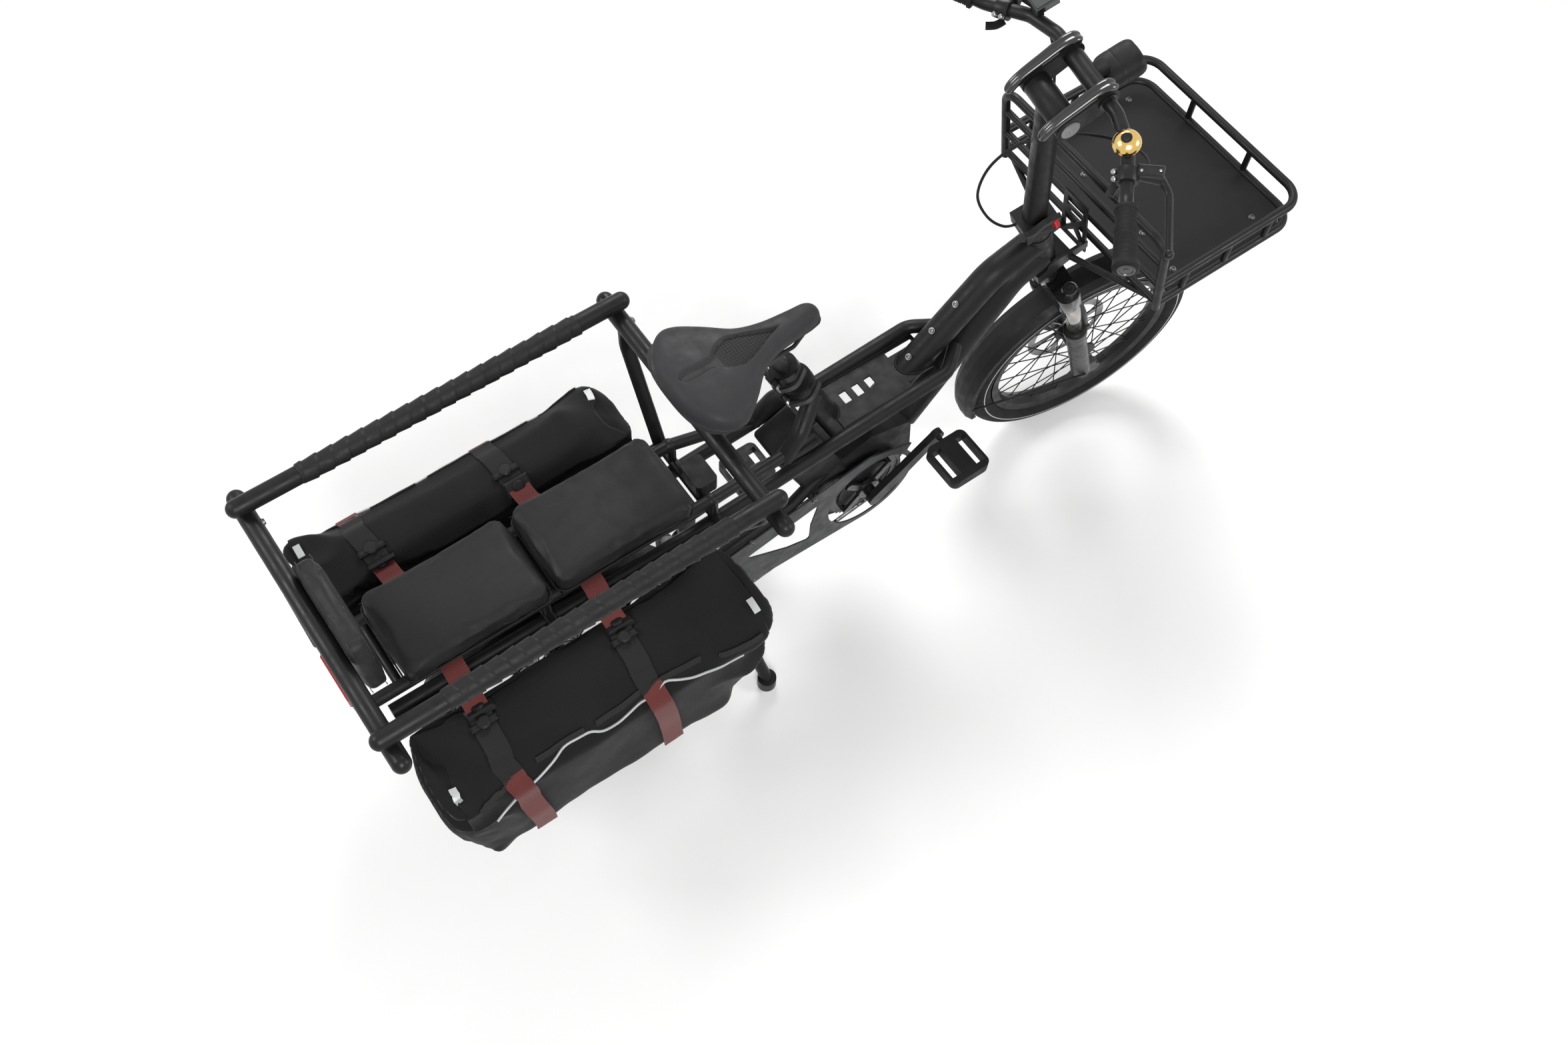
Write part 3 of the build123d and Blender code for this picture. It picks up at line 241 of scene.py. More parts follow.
TRAY = surface("tray_laminate", (0.010, 0.010, 0.0105), 0.44, grain=1100, depth=0.0001, spread=0.15,
               even=0.05, specular=0.15)
VINYL = surface("bench_vinyl", (0.017, 0.017, 0.0175), 0.48, patch=7, grain=1250, depth=0.00035, spread=0.25,
                specular=0.15)
SADDLE = surface("saddle_cover", (0.027, 0.027, 0.0285), 0.55, patch=10, grain=1500, depth=0.0002,
                 specular=0.15)
DIMPLES = dotted("saddle_dimples", (0.014, 0.014, 0.015), 0.50, 190.0, 0.0008)
TAPE = surface("rail_tape", (0.011, 0.011, 0.011), 0.50, patch=25, grain=800, depth=0.0005, spread=0.5,
               specular=0.17)
CANVAS = woven("bag_canvas", (0.0080, 0.0080, 0.0085), 0.78, 2400, 0.00025, sheen=0.09)
WEBBING = woven("black_webbing", (0.015, 0.0145, 0.0145), 0.72, 1500, 0.0005, sheen=0.08)
MAROON = woven("maroon_webbing", (0.105, 0.026, 0.024), 0.66, 1500, 0.0005, sheen=0.15)
REFLECT = surface("reflective_trim", (0.40, 0.41, 0.41), 0.40, 0.2, patch=60, grain=2000, depth=0.0002,
                  spread=0.12)
RED = surface("red_plastic", (0.42, 0.010, 0.010), 0.30, patch=60, depth=0.00004, spread=0.15)
RED_LENS = lens("red_lens", (0.42, 0.010, 0.010), 0.14, 0.25)
CLEAR_LENS = lens("clear_lens", (0.86, 0.88, 0.90), 0.06, 0.75)
SCREEN = surface("screen_glass", (0.024, 0.027, 0.026), 0.12, coat=1.0, patch=40, depth=0.00001, even=0.04)

NODE_FINISH = (
    (PAINT, "main_tubes side_beams seat_tube handlepost rear_stays stem_arms"),
    (SATIN, "rear_rack side_rails crossbars uprights front_rack rack_brackets stand front_rim rear_rim"),
    (ALLOY, "crank handlebar front_caliper seatpost brake_levers"),
    (LOWERS, "fork_lowers"),
    (GLOSS, "fork_upper headlamp display rear_lamp"),
    (STEEL, "cassette front_disc rear_disc"),
    (DARK_STEEL, "chain chainring derailleur"),
    (MOULDED, "motor battery deck_box rear_fender front_fender pedal_right pedal_left control_cables"),
    (GREY_PLATE, "chain_guard"),
    (TRAY, "rack_tray"),
    (BRASS, "bell"),
    (RUBBER, "front_tyre rear_tyre"),
    (GRIP, "grips"),
    (TAPE, "rail_wraps"),
    (VINYL, "seat_pads backrest"),
    (CANVAS, "pannier_left pannier_right"),
    (SADDLE, "saddle"),
)
SOFT_EDGES = (
    ("stem_arms", 0.0042),
    ("motor battery deck_box display headlamp handlepost crank pedal_right pedal_left", 0.0022),
    ("chain_guard rack_brackets fork_upper front_caliper rack_tray brake_levers rear_lamp", 0.0009),
)


def dress_solids():
    """Gives each solid its finish, and soft edges where the real piece is moulded or broken."""
    for made, names in NODE_FINISH:
        for name in names.split():
            solid = frame["nodes"][name]
            if not solid.material_slots:
                solid.data.materials.append(made)
            for place in solid.material_slots:
                place.material = made
    for names, width in SOFT_EDGES:
        for name in names.split():
            solid = frame["nodes"][name]
            weld = solid.modifiers.new("joined", "WELD")
            weld.merge_threshold = 0.00002
            edge = solid.modifiers.new("soft_edges", "BEVEL")
            edge.width = width
            edge.segments = 2
            edge.limit_method = "ANGLE"
            edge.angle_limit = radians(38)
            edge.harden_normals = False
            edge.use_clamp_overlap = True


# Ways to make pieces
def piece(name, verts, faces, body, finishes, smooth=True, closed=True):
    """A mesh piece that rides on a body, with its faces turned outward where it is closed."""
    mesh = bpy.data.meshes.new(name)
    mesh.from_pydata([tuple(point) for point in verts], [], faces)
    mesh.update()
    made = bpy.data.objects.new(name, mesh)
    bpy.context.scene.collection.objects.link(made)
    for finish in finishes if isinstance(finishes, (list, tuple)) else [finishes]:
        mesh.materials.append(finish)
    for face in mesh.polygons:
        face.use_smooth = smooth
    if closed:
        reshaped(made, lambda shape: bmesh.ops.recalc_face_normals(shape, faces=shape.faces))
    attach(made, body)
    return made


def reshaped(made, change):
    """A change made to a piece's mesh."""
    shape = bmesh.new()
    shape.from_mesh(made.data)
    change(shape)
    shape.to_mesh(made.data)
    shape.free()


def grid_faces(rows, columns, closed_rows=False, closed_columns=False, first=0):
    """Quads over a grid of points that runs row by row."""
    faces = []
    for row in range(rows if closed_rows else rows - 1):
        for column in range(columns if closed_columns else columns - 1):
            after = (row + 1) % rows
            beside = (column + 1) % columns
            faces.append(
                (
                    first + row * columns + column,
                    first + row * columns + beside,
                    first + after * columns + beside,
                    first + after * columns + column,
                )
            )
    return faces


def tube_faces(rows, around, first=0):
    """Quads along a tube of rings of points, with a flat face at each end."""
    faces = grid_faces(rows, around, closed_columns=True, first=first)
    last = first + (rows - 1) * around
    faces.append(tuple(range(first + around - 1, first - 1, -1)))
    faces.append(tuple(range(last, last + around)))
    return faces


class Parts:
    """Verts and faces of several small forms that make one piece."""

    def __init__(self):
        self.verts = []
        self.faces = []

    def lathe(self, place, profile, turns=20):
        """A turned form about Z of a matrix, from radius and height pairs, with flat ends."""
        first = len(self.verts)
        for radius, height in profile:
            for turn in range(turns):
                angle = 2 * pi * turn / turns
                self.verts.append(place @ Vector((radius * cos(angle), radius * sin(angle), height)))
        self.faces += tube_faces(len(profile), turns, first)

    def block(self, place, size, round_off=0.0):
        """A box about a matrix's origin with its upper edges broken."""
        first = len(self.verts)
        half = Vector(size) / 2
        for height, inset in ((-half.z, 0), (half.z - round_off, 0), (half.z, round_off)):
            for x, y in ((-1, -1), (1, -1), (1, 1), (-1, 1)):
                corner = Vector((x * (half.x - inset), y * (half.y - inset), height))
                self.verts.append(place @ corner)
        self.faces += tube_faces(3, 4, first)

    def band(self, points, across, half, thick):
        """A flat strap along points, as wide as the way across, with its outer side up."""
        first = len(self.verts)
        count = len(points)
        for number, point in enumerate(points):
            way = points[min(number + 1, count - 1)] - points[max(number - 1, 0)]
            side = (across - way.normalized() * across.dot(way.normalized())).normalized()
            up = way.normalized().cross(side).normalized()
            for u, v in ((-1, 0), (1, 0), (1, 1), (-1, 1)):
                self.verts.append(point + side * (half * u) + up * (thick * v))
        self.faces += tube_faces(count, 4, first)

    def make(self, name, body, slot, finishes, smooth=False):
        """The forms as one piece."""
        return piece(name, self.verts, self.faces, body, finishes, smooth)


def smooth_line(points, steps):
    """Points along a smooth curve through the given ones."""
    line = []
    count = len(points)
    for number in range(count - 1):
        before = points[max(number - 1, 0)]
        start, end = points[number], points[number + 1]
        after = points[min(number + 2, count - 1)]
        for step in range(steps):
            t = step / steps
            line.append(
                0.5
                * (
                    2 * start
                    + (end - before) * t
                    + (2 * before - 5 * start + 4 * end - after) * t * t
                    + (3 * start - before - 3 * end + after) * t ** 3
                )
            )
    line.append(points[-1])
    return line


def rod(name, points, radius, body, finish, steps=8):
    """A round bead along a smooth curve."""
    line = bpy.data.curves.new(name, "CURVE")
    line.dimensions = "3D"
    line.bevel_depth = radius
    line.bevel_resolution = 3
    line.use_fill_caps = True
    run = line.splines.new("POLY")
    path = smooth_line([Vector(point) for point in points], steps)
    run.points.add(len(path) - 1)
    for point, place in zip(run.points, path):
        point.co = (*place, 1)
    made = bpy.data.objects.new(name, line)
    bpy.context.scene.collection.objects.link(made)
    line.materials.append(finish)
    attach(made, body)
    return made


def socket_bolt(parts, place, radius=0.0045, height=0.004):
    """A round bolt head with a hollow socket, standing on a matrix's origin."""
    parts.lathe(
        place,
        [
            (radius * 1.35, -0.001),
            (radius * 1.35, 0.0008),
            (radius, 0.0008),
            (radius, height * 0.8),
            (radius * 0.85, height),
            (radius * 0.60, height),
            (radius * 0.56, height * 0.30),
            (radius * 0.10, height * 0.15),
        ],
        12,
    )


def bolts(name, body, spots, radius=0.0045):
    """Bolt heads at places with ways out, as one piece."""
    parts = Parts()
    for place, way in spots:
        ahead = (0, 1, 0) if abs(Vector(way).normalized().y) < 0.9 else (1, 0, 0)
        socket_bolt(parts, axis_frame(place, way, ahead), radius)
    return parts.make(name, body, "steel", BOLT)


# Tyres
TREAD_EDGE = radians(52)
SIPES = 60
SIPE_DEPTH = 0.0016
RING_ANGLES = (radians(88), radians(95))


def tread_depth(turn, lean):
    """How deep the tread is cut at an angle round the wheel and an angle from the crown."""
    away = abs(lean)
    if away > TREAD_EDGE:
        return 0.0
    if 0.13 < away < 0.19 or 0.46 < away < 0.53:
        return SIPE_DEPTH
    side = 1 if lean > 0 else 0
    share = (turn * SIPES / (2 * pi) + away * 0.9 + 0.5 * side) % 1
    return SIPE_DEPTH if share < 0.2 and away > 0.19 else 0.0


def tyre(name, node, spin, body):
    """A tyre with a cut tread and a thin reflecting ring on each sidewall."""
    item = joint(spin)
    place = axis_frame(item["pos_m"], item["axis"], (0, 0, 1))
    around, across = 480, 60
    middle = TYRE_R - TYRE_HALF
    lean_end = radians(147.4)
    verts = []
    for turn in range(around):
        angle = 2 * pi * turn / around
        for step in range(across + 1):
            lean = lean_end * (2 * step / across - 1)
            grown = TYRE_HALF - tread_depth(angle, lean)
            radius = middle + grown * cos(lean)
            spot = Vector((radius * cos(angle), radius * sin(angle), grown * sin(lean)))
            verts.append(place @ spot)
    faces = grid_faces(around, across + 1, closed_rows=True)
    for turn in range(around):
        after = (turn + 1) % around
        row, below = turn * (across + 1), after * (across + 1)
        faces.append((row + across, row, below, below + across))
    made = piece(name, verts, faces, body, [RUBBER, REFLECT])
    for number in range(around * across):
        lean = abs(lean_end * (2 * (number % across + 0.5) / across - 1))
        if RING_ANGLES[0] < lean < RING_ANGLES[1]:
            made.data.polygons[number].material_index = 1
    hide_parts(node)


# Rail tape
TAPE_PITCH = 0.026
TAPE_RISE = 0.0021


def rail_tape():
    """Tape wound along each side rail, with a step at each lap and its ends drawn down to the rail."""
    low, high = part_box("rail_wraps")
    steps, around = 320, 36
    for name, side in (("rail_tape_right", -1), ("rail_tape_left", 1)):
        y = side * (high[1] - RAIL_R - 0.003)
        z = (low[2] + high[2]) / 2
        verts = []
        for step in range(steps + 1):
            x = low[0] + (high[0] - low[0]) * step / steps
            for turn in range(around):
                angle = 2 * pi * turn / around
                lap = (x / TAPE_PITCH + side * turn / around) % 1
                wave = noise.noise(Vector((x * 40, cos(angle) * 2, sin(angle) * 2 + side * 7)))
                radius = RAIL_R + 0.0009 + TAPE_RISE * lap + 0.0005 * wave
                if step in (0, steps):
                    radius = RAIL_R + 0.0002
                verts.append((x, y + radius * cos(angle), z + radius * sin(angle)))
        faces = grid_faces(steps + 1, around, closed_columns=True)
        made = piece(name, verts, faces, "frame", TAPE)
        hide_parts("rail_wraps")


# Cushions
def filled_form(outline, low, high, inset):
    """A closed prism of an outline, drawn in by an inset, as verts and faces."""
    middle = sum((Vector(point) for point in outline), Vector((0, 0))) / len(outline)
    ring = []
    for point in outline:
        way = Vector(point) - middle
        ring.append(middle + way * max(0.0, 1 - inset / way.length))
    count = len(ring)
    verts = [(*point, low + inset) for point in ring] + [(*point, high - inset) for point in ring]
    faces = [tuple(range(count - 1, -1, -1)), tuple(range(count, 2 * count))]
    for number in range(count):
        after = (number + 1) % count
        faces.append((number, after, count + after, count + number))
    return verts, faces


def swell(made, voxel, pressure, cap, frames=18):
    """Remeshes a closed form and blows it up a little as cloth, with a cap on how far it moves."""
    bpy.context.view_layer.objects.active = made
    made.data.remesh_voxel_size = voxel
    with bpy.context.temp_override(object=made, active_object=made, selected_objects=[made]):
        bpy.ops.object.voxel_remesh()
    start = [vert.co.copy() for vert in made.data.vertices]
    cloth = made.modifiers.new("cloth", "CLOTH")
    cloth.settings.quality = 5
    cloth.settings.mass = 0.25
    cloth.settings.use_pressure = True
    cloth.settings.uniform_pressure_force = pressure
    cloth.settings.effector_weights.gravity = 0
    cloth.settings.tension_stiffness = 25
    cloth.settings.bending_stiffness = 0.8
    cloth.point_cache.frame_start = 1
    cloth.point_cache.frame_end = frames
    scene = bpy.context.scene
    for number in range(1, frames + 1):
        scene.frame_set(number)
    shaped = made.evaluated_get(bpy.context.evaluated_depsgraph_get())
    grown = [vert.co.copy() for vert in shaped.data.vertices]
    made.modifiers.remove(cloth)
    scene.frame_set(1)
    for vert, before, after in zip(made.data.vertices, start, grown):
        move = after - before
        if move.length > cap:
            move *= cap / move.length
        vert.co = before + move
    for _ in range(2):
        soften(made)


def soften(made, share=0.5):
    """Moves each point part of the way to the middle of its neighbours."""
    ways = {"use_axis_x": True, "use_axis_y": True, "use_axis_z": True}
    reshaped(made, lambda shape: bmesh.ops.smooth_vert(shape, verts=shape.verts, factor=share, **ways))


def subdivided(made):
    """One round of subdivision, applied."""
    cut = {"cuts": 1, "use_grid_fill": True, "smooth": 0.6}
    reshaped(made, lambda shape: bmesh.ops.subdivide_edges(shape, edges=shape.edges, **cut))


def rounded_outline(low, high, radius, steps=6):
    """A rectangle's outline with round corners."""
    points = []
    corners = (
        (high[0] - radius, high[1] - radius, 0),
        (low[0] + radius, high[1] - radius, 90),
        (low[0] + radius, low[1] + radius, 180),
        (high[0] - radius, low[1] + radius, 270),
    )
    for x, y, start in corners:
        for step in range(steps + 1):
            angle = radians(start + 90 * step / steps)
            points.append((x + radius * cos(angle), y + radius * sin(angle)))
    return points


def inner_outline(low, high, inset, radius, steps=6):
    """A rectangle's outline with round corners, drawn in by an inset."""
    first = [part + inset for part in low]
    last = [part - inset for part in high]
    return rounded_outline(first, last, radius, steps)


PAD_GAP = 0.003
PAD_CORNER = 0.020
REST_CORNER = 0.026
STITCH_IN = 0.001
SEAM_IN = 0.002
SEAM_UP = 0.013


def bench_pads():
    """Two upholstered bench pads on the rack, each with a seam round its side."""
    low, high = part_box("seat_pads")
    middle = (low[0] + high[0]) / 2
    spans = (
        ("bench_pad_front", middle + PAD_GAP, high[0]),
        ("bench_pad_rear", low[0], middle - PAD_GAP),
    )
    boards = Parts()
    for name, first, last in spans:
        outline = rounded_outline((first, low[1]), (last, high[1]), PAD_CORNER)
        verts, faces = filled_form(outline, low[2], high[2], 0.004)
        made = piece(name, verts, faces, "frame", VINYL)
        swell(made, 0.0055, 2.5, 0.005)
        centre = Vector(((first + last) / 2, 0, 0))
        half = Vector(((last - first) / 2, high[1], 0))
        for vert in made.data.vertices:
            u = (vert.co.x - centre.x) / half.x
            v = vert.co.y / half.y
            above = max(0.0, (vert.co.z - low[2]) / (high[2] - low[2]))
            crown = max(0.0, 1 - u ** 4) * max(0.0, 1 - v ** 4)
            vert.co.z += 0.0025 * crown * above
            vert.co.z = max(vert.co.z, low[2])
            edge = max(abs(u), abs(v))
            if edge > 0.9 and 0.15 < above < 0.9:
                crease = noise.noise(Vector((vert.co.x * 60, vert.co.y * 60, vert.co.z * 14)))
                vert.co.x += 0.0012 * crease * u
                vert.co.y += 0.0012 * crease * v
        subdivided(made)
        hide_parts("seat_pads")
        edge = inner_outline((first, low[1]), (last, high[1]), SEAM_IN, PAD_CORNER)
        seam = [(x, y, low[2] + SEAM_UP) for x, y in edge + edge[:1]]
        rod(name + "_seam", seam, 0.0016, "frame", VINYL, 2)
        place = Matrix.Translation(((first + last) / 2, 0, low[2] + 0.003))
        boards.block(place, (last - first - 0.012, high[1] - low[1] - 0.012, 0.006), 0.001)
    boards.make("bench_boards", "frame", "black_plastic", MOULDED)


def backrest():
    """A backrest pad with a row of stitches along each edge."""
    low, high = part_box("backrest")
    outline = rounded_outline(low[1:], high[1:], REST_CORNER)
    verts, faces = filled_form(outline, low[0], high[0], 0.004)
    turned = [(point[2], point[0], point[1]) for point in verts]
    made = piece("backrest_pad", turned, faces, "frame", VINYL)
    swell(made, 0.005, 2.0, 0.004)
    subdivided(made)
    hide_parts("backrest")
    stitches = Parts()
    edge = inner_outline(low[1:], high[1:], STITCH_IN, REST_CORNER, 8)
    for x in (low[0] + 0.006, high[0] - 0.006):
        path = smooth_line([Vector((x, y, z)) for y, z in edge], 4)
        for number in range(0, len(path) - 1, 2):
            way = path[number + 1] - path[number]
            if way.length < 0.0004:
                continue
            spot = axis_frame((path[number] + path[number + 1]) / 2, way, (1, 0, 0))
            stitches.lathe(spot, [(0.0005, -0.0021), (0.0007, 0), (0.0005, 0.0021)], 5)
    stitches.make("backrest_stitches", "frame", "pad_cover", GREY_PLATE)


# Saddle
SADDLE_NOSE = -0.0185
SADDLE_TAIL = -0.3018
SADDLE_ROWS = (
    # share of the length from the nose, half width, how far the ends of the row lie forward
    (0.00, 0.0190, -0.0200),
    (0.06, 0.0215, -0.0120),
    (0.16, 0.0235, 0.0),
    (0.34, 0.0300, 0.0),
    (0.48, 0.0440, 0.004),
    (0.62, 0.0740, 0.010),
    (0.76, 0.0985, 0.018),
    (0.88, 0.1055, 0.032),
    (1.00, 0.1000, 0.052),
)
SADDLE_WELL = (
    # share of the length from the nose and half width of the sunk middle
    (0.26, 0.000),
    (0.36, 0.010),
    (0.48, 0.024),
    (0.57, 0.030),
    (0.65, 0.022),
    (0.70, 0.0105),
    (0.90, 0.0095),
    (0.925, 0.000),
)


def eased(table, at, column=1):
    """A smooth value from a column of a table of rising places."""
    for number in range(len(table) - 1):
        one, two = table[number], table[number + 1]
        if one[0] <= at <= two[0]:
            before = table[max(number - 1, 0)]
            after = table[min(number + 2, len(table) - 1)]
            span = two[0] - one[0]
            rise_in = (two[column] - before[column]) / (two[0] - before[0]) * span
            rise_out = (after[column] - one[column]) / (after[0] - one[0]) * span
            t = (at - one[0]) / span
            return (
                (2 * t ** 3 - 3 * t * t + 1) * one[column]
                + (t ** 3 - 2 * t * t + t) * rise_in
                + (3 * t * t - 2 * t ** 3) * two[column]
                + (t ** 3 - t * t) * rise_out
            )
    return 0.0


def saddle_top():
    """A padded saddle with broad lobes, a thick nose and a sunk, dimpled middle."""
    low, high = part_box("saddle")
    rows, columns = 132, 109
    top, bottom, marks = [], [], []
    for row in range(rows):
        share = row / (rows - 1)
        s = 0.45 * share + 0.55 * (0.5 - 0.5 * cos(pi * share))
        middle = SADDLE_NOSE + (SADDLE_TAIL - SADDLE_NOSE) * s
        wide = eased(SADDLE_ROWS, s)
        forward = eased(SADDLE_ROWS, s, 2)
        well = max(0.0, eased(SADDLE_WELL, s))
        end = max((s - 0.82) / 0.18, (0.085 - s) / 0.085, 0.0)
        crown = high[2] - 0.0080 + 0.0078 * s ** 3 + 0.0030 * exp(-((s - 0.06) / 0.12) ** 2)
        skirt = low[2] + 0.0020 + 0.0040 * exp(-((s - 0.30) / 0.22) ** 2)
        power = 2.3 + 0.7 * min(1.0, s / 0.6)
        for column in range(columns):
            u = sin(pi / 2 * (2 * column / (columns - 1) - 1))
            away = min(1.0, abs(u) ** power + end ** power)
            dome = (1 - away) ** (1 / power)
            x = middle + forward * (1 - (1 - min(1.0, abs(u)) ** 2.6) ** (1 / 2.6))
            y = wide * u
            z = skirt + (crown - skirt) * dome
            side_sag = 0.0045 * max(0.0, s - 0.45) * (abs(u) ** 2)
            step = min(1.0, max(0.0, (well - abs(y)) / 0.0036))
            sunk = step * step * (3 - 2 * step)
            z -= side_sag + 0.0060 * sunk
            top.append((x, y, z))
            marks.append(sunk > 0.6 and 0.30 < s < 0.67)
            bottom.append((x, y * 0.97, skirt - side_sag - 0.003))
    verts = top + bottom
    faces = grid_faces(rows, columns)
    faces += [tuple(reversed(face)) for face in grid_faces(rows, columns, first=rows * columns)]
    rim = list(range(columns))
    rim += [row * columns + columns - 1 for row in range(1, rows)]
    rim += [(rows - 1) * columns + column for column in range(columns - 2, -1, -1)]
    rim += [row * columns for row in range(rows - 2, 0, -1)]
    under = rows * columns
    for number, corner in enumerate(rim):
        after = rim[(number + 1) % len(rim)]
        faces.append((corner, under + corner, under + after, after))
    made = piece("saddle_cover", verts, faces, "saddle", [SADDLE, DIMPLES])
    for face in made.data.polygons:
        if all(corner < under and marks[corner] for corner in face.vertices):
            face.material_index = 1
    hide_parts("saddle")


# Panniers
def bag_outline(low, high):
    """The bag's side outline in X and Z, with slanted ends."""
    return [
        (low.x + 0.002, high.z),
        (low.x, low.z + 0.140),
        (low.x + 0.040, low.z),
        (high.x - 0.064, low.z),
        (high.x - 0.010, low.z + 0.140),
        (high.x, high.z),
    ]


def mesh_skin(solid):
    """A mesh's surface for finding places on it."""
    spots = [solid.matrix_world @ vert.co for vert in solid.data.vertices]
    return BVHTree.FromPolygons(spots, [tuple(face.vertices) for face in solid.data.polygons])


def laid(skin, points, offset):
    """The points moved onto a skin and lifted off it."""
    line = []
    for point in points:
        spot, normal, _, _ = skin.find_nearest(point)
        line.append(spot + normal * offset)
    return line


def flap_edge(x, low, high):
    """How high the flap's edge hangs on the outer side, in Z, at a place along the bag."""
    middle = (low.x + high.x) / 2
    share = (x - middle) / ((high.x - low.x) / 2)
    return high.z - 0.006 - 0.085 * abs(share) ** 1.6 - 0.012 * cos(share * 9)


def bag_fold(spot, low, high, inner, side):
    """How far a place on the bag's cloth lies out of its even form."""
    along = (spot.x - low.x) / (high.x - low.x)
    gathered = max(0.0, 1 - min(along, 1 - along) / 0.27)
    gathered = gathered * gathered * (3 - 2 * gathered)
    out, down = abs(spot.y - inner), high.z - spot.z
    turn = atan2(down + 0.015, out + 0.02)
    away = min(1.0, (out * out + down * down) ** 0.5 / 0.06)
    sway = noise.noise(Vector((spot.x * 7, spot.y * 6, spot.z * 5 + side)))
    ripple = 1 - 2 * abs(sin(turn * 9 + 3 * sway + along * 3))
    soft = noise.noise(Vector((spot.x * 8, spot.y * 7 + side * 5, spot.z * 6)))
    fine = noise.noise(Vector((spot.x * 34, spot.y * 26, spot.z * 22 + side * 3)))
    return 0.0130 * gathered * away * ripple + 0.0060 * soft + 0.0022 * fine * (0.4 + gathered)


def pannier(side, node):
    """A soft bag with a flap, its reflecting edge, webbing straps and buckles."""
    low, high = (Vector(corner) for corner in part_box(node))
    verts, faces = filled_form(bag_outline(low, high), low.y, high.y, 0.013)
    turned = [(point[0], point[2], point[1]) for point in verts]
    made = piece(node + "_body", turned, faces, "frame", CANVAS)
    swell(made, 0.009, 1.4, 0.013, 16)
    subdivided(made)
    inner = low.y if side > 0 else high.y
    normals = [vert.normal.copy() for vert in made.data.vertices]
    for vert, normal in zip(made.data.vertices, normals):
        if abs(vert.co.y - inner) > 0.01:
            vert.co += normal * bag_fold(vert.co.copy(), low, high, inner, side)
    for _ in range(2):
        soften(made, 0.4)
    limit_y = inner + side * 0.0004
    for vert in made.data.vertices:
        if side * (vert.co.y - limit_y) < 0:
            vert.co.y = limit_y
    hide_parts(node)
    made.data.update()
    skin = mesh_skin(made)
    outer = high.y if side > 0 else low.y
    bag_flap(node, side, skin, low, high, inner, outer)
    bag_straps(node, side, skin, low, high, inner, outer)


def bag_flap(name, side, skin, low, high, inner, outer):
    """The flap over the bag's top, with a reflecting edge and a webbing line above it."""
    rows, columns = 74, 26
    verts = []
    edge_line = []
    web_line = []
    for row in range(rows):
        x = low.x + 0.022 + (high.x - low.x - 0.044) * row / (rows - 1)
        route = [
            Vector((x, inner + side * 0.012, high.z + 0.02)),
            Vector((x, (inner + outer) / 2, high.z + 0.03)),
            Vector((x, outer - side * 0.004, high.z + 0.016)),
            Vector((x, outer + side * 0.02, flap_edge(x, low, high))),
        ]
        across = smooth_line(route, 12)
        across = [across[round(number * (len(across) - 1) / (columns - 1))] for number in range(columns)]
        across = laid(skin, across, 0.0032)
        verts += across
        edge_line.append(across[-1] + Vector((0, side * 0.0018, 0.0012)))
        web_line.append(across[-6])
    faces = grid_faces(rows, columns)
    made = piece(name + "_flap", verts, faces, "frame", CANVAS, closed=False)
    for _ in range(2):
        soften(made, 0.3)
    thick = made.modifiers.new("thick", "SOLIDIFY")
    thick.thickness = 0.0022
    thick.offset = 0
    rod(name + "_piping", edge_line[6:rows - 5:3], 0.0024, "frame", REFLECT, 4)
    webbing = Parts()
    for first in range(4, rows - 12, 14):
        run = [web_line[number] + Vector((0, side * 0.001, 0.0016)) for number in range(first, first + 12)]
        webbing.band(run, Vector((0, -side * 0.3, 1)), 0.007, WEB_T)
    webbing.make(name + "_webbing", "frame", "bag_fabric", WEBBING)


BUCKLE_KNOB = ((0.011, 0), (0.011, 0.003), (0.008, 0.005))
RACK_TOP = 0.6475


def bag_straps(name, side, skin, low, high, inner, outer):
    """Two straps from the rack over the flap to the bag's foot, each with a buckle."""
    maroon = Parts()
    black = Parts()
    buckles = Parts()
    for x in STRAP_X:
        route = [
            Vector((x, inner + side * 0.030, high.z + 0.02)),
            Vector((x - 0.006, (inner + outer) / 2, high.z + 0.03)),
            Vector((x - 0.010, outer - side * 0.012, high.z + 0.012)),
            Vector((x - 0.004, outer + side * 0.02, high.z - 0.060)),
            Vector((x + 0.008, outer + side * 0.02, low.z + 0.130)),
            Vector((x + 0.012, outer + side * 0.02, low.z + 0.055)),
        ]
        line = laid(skin, smooth_line(route, 10), 0.0062)
        along = Vector((-side, 0, 0))
        black.band(line[:24], along, STRAP_HALF, WEB_T)
        maroon.band(line[22:], along, STRAP_HALF, WEB_T)
        tab = [
            Vector((x, inner - side * 0.030, RACK_TOP)),
            Vector((x, inner - side * 0.012, RACK_TOP - 0.0065)),
            Vector((x, inner + side * 0.010, high.z + 0.018)),
            line[2] + Vector((0, 0, 0.002)),
        ]
        maroon.band(smooth_line(tab, 6), along, STRAP_HALF, WEB_T)
        for at in (1, 8):
            out = (line[at + 1] - line[at]).cross(Vector((1, 0, 0))) * -side
            place = axis_frame(line[at] + Vector((0, 0, 0.004)), out, (1, 0, 0))
            buckles.block(place, (0.047, 0.030 if at == 1 else 0.012, 0.009), 0.003)
            buckles.lathe(place @ Matrix.Translation((0, 0, 0.004)), BUCKLE_KNOB, 18)
    maroon.make(name + "_straps_maroon", "frame", "bag_fabric", MAROON)
    black.make(name + "_straps_black", "frame", "bag_fabric", WEBBING)
    buckles.make(name + "_buckles", "frame", "black_plastic", MOULDED)
    tabs = Parts()
    for x in (low.x + 0.030, high.x - 0.030):
        points = [
            Vector((x, outer - side * 0.048, high.z + 0.010)),
            Vector((x, outer - side * 0.022, high.z + 0.004)),
        ]
        tabs.band(laid(skin, smooth_line(points, 6), 0.0072), Vector((-side, 0, 0)), 0.006, WEB_T)
    tabs.make(name + "_corner_tabs", "frame", "bag_fabric", REFLECT)


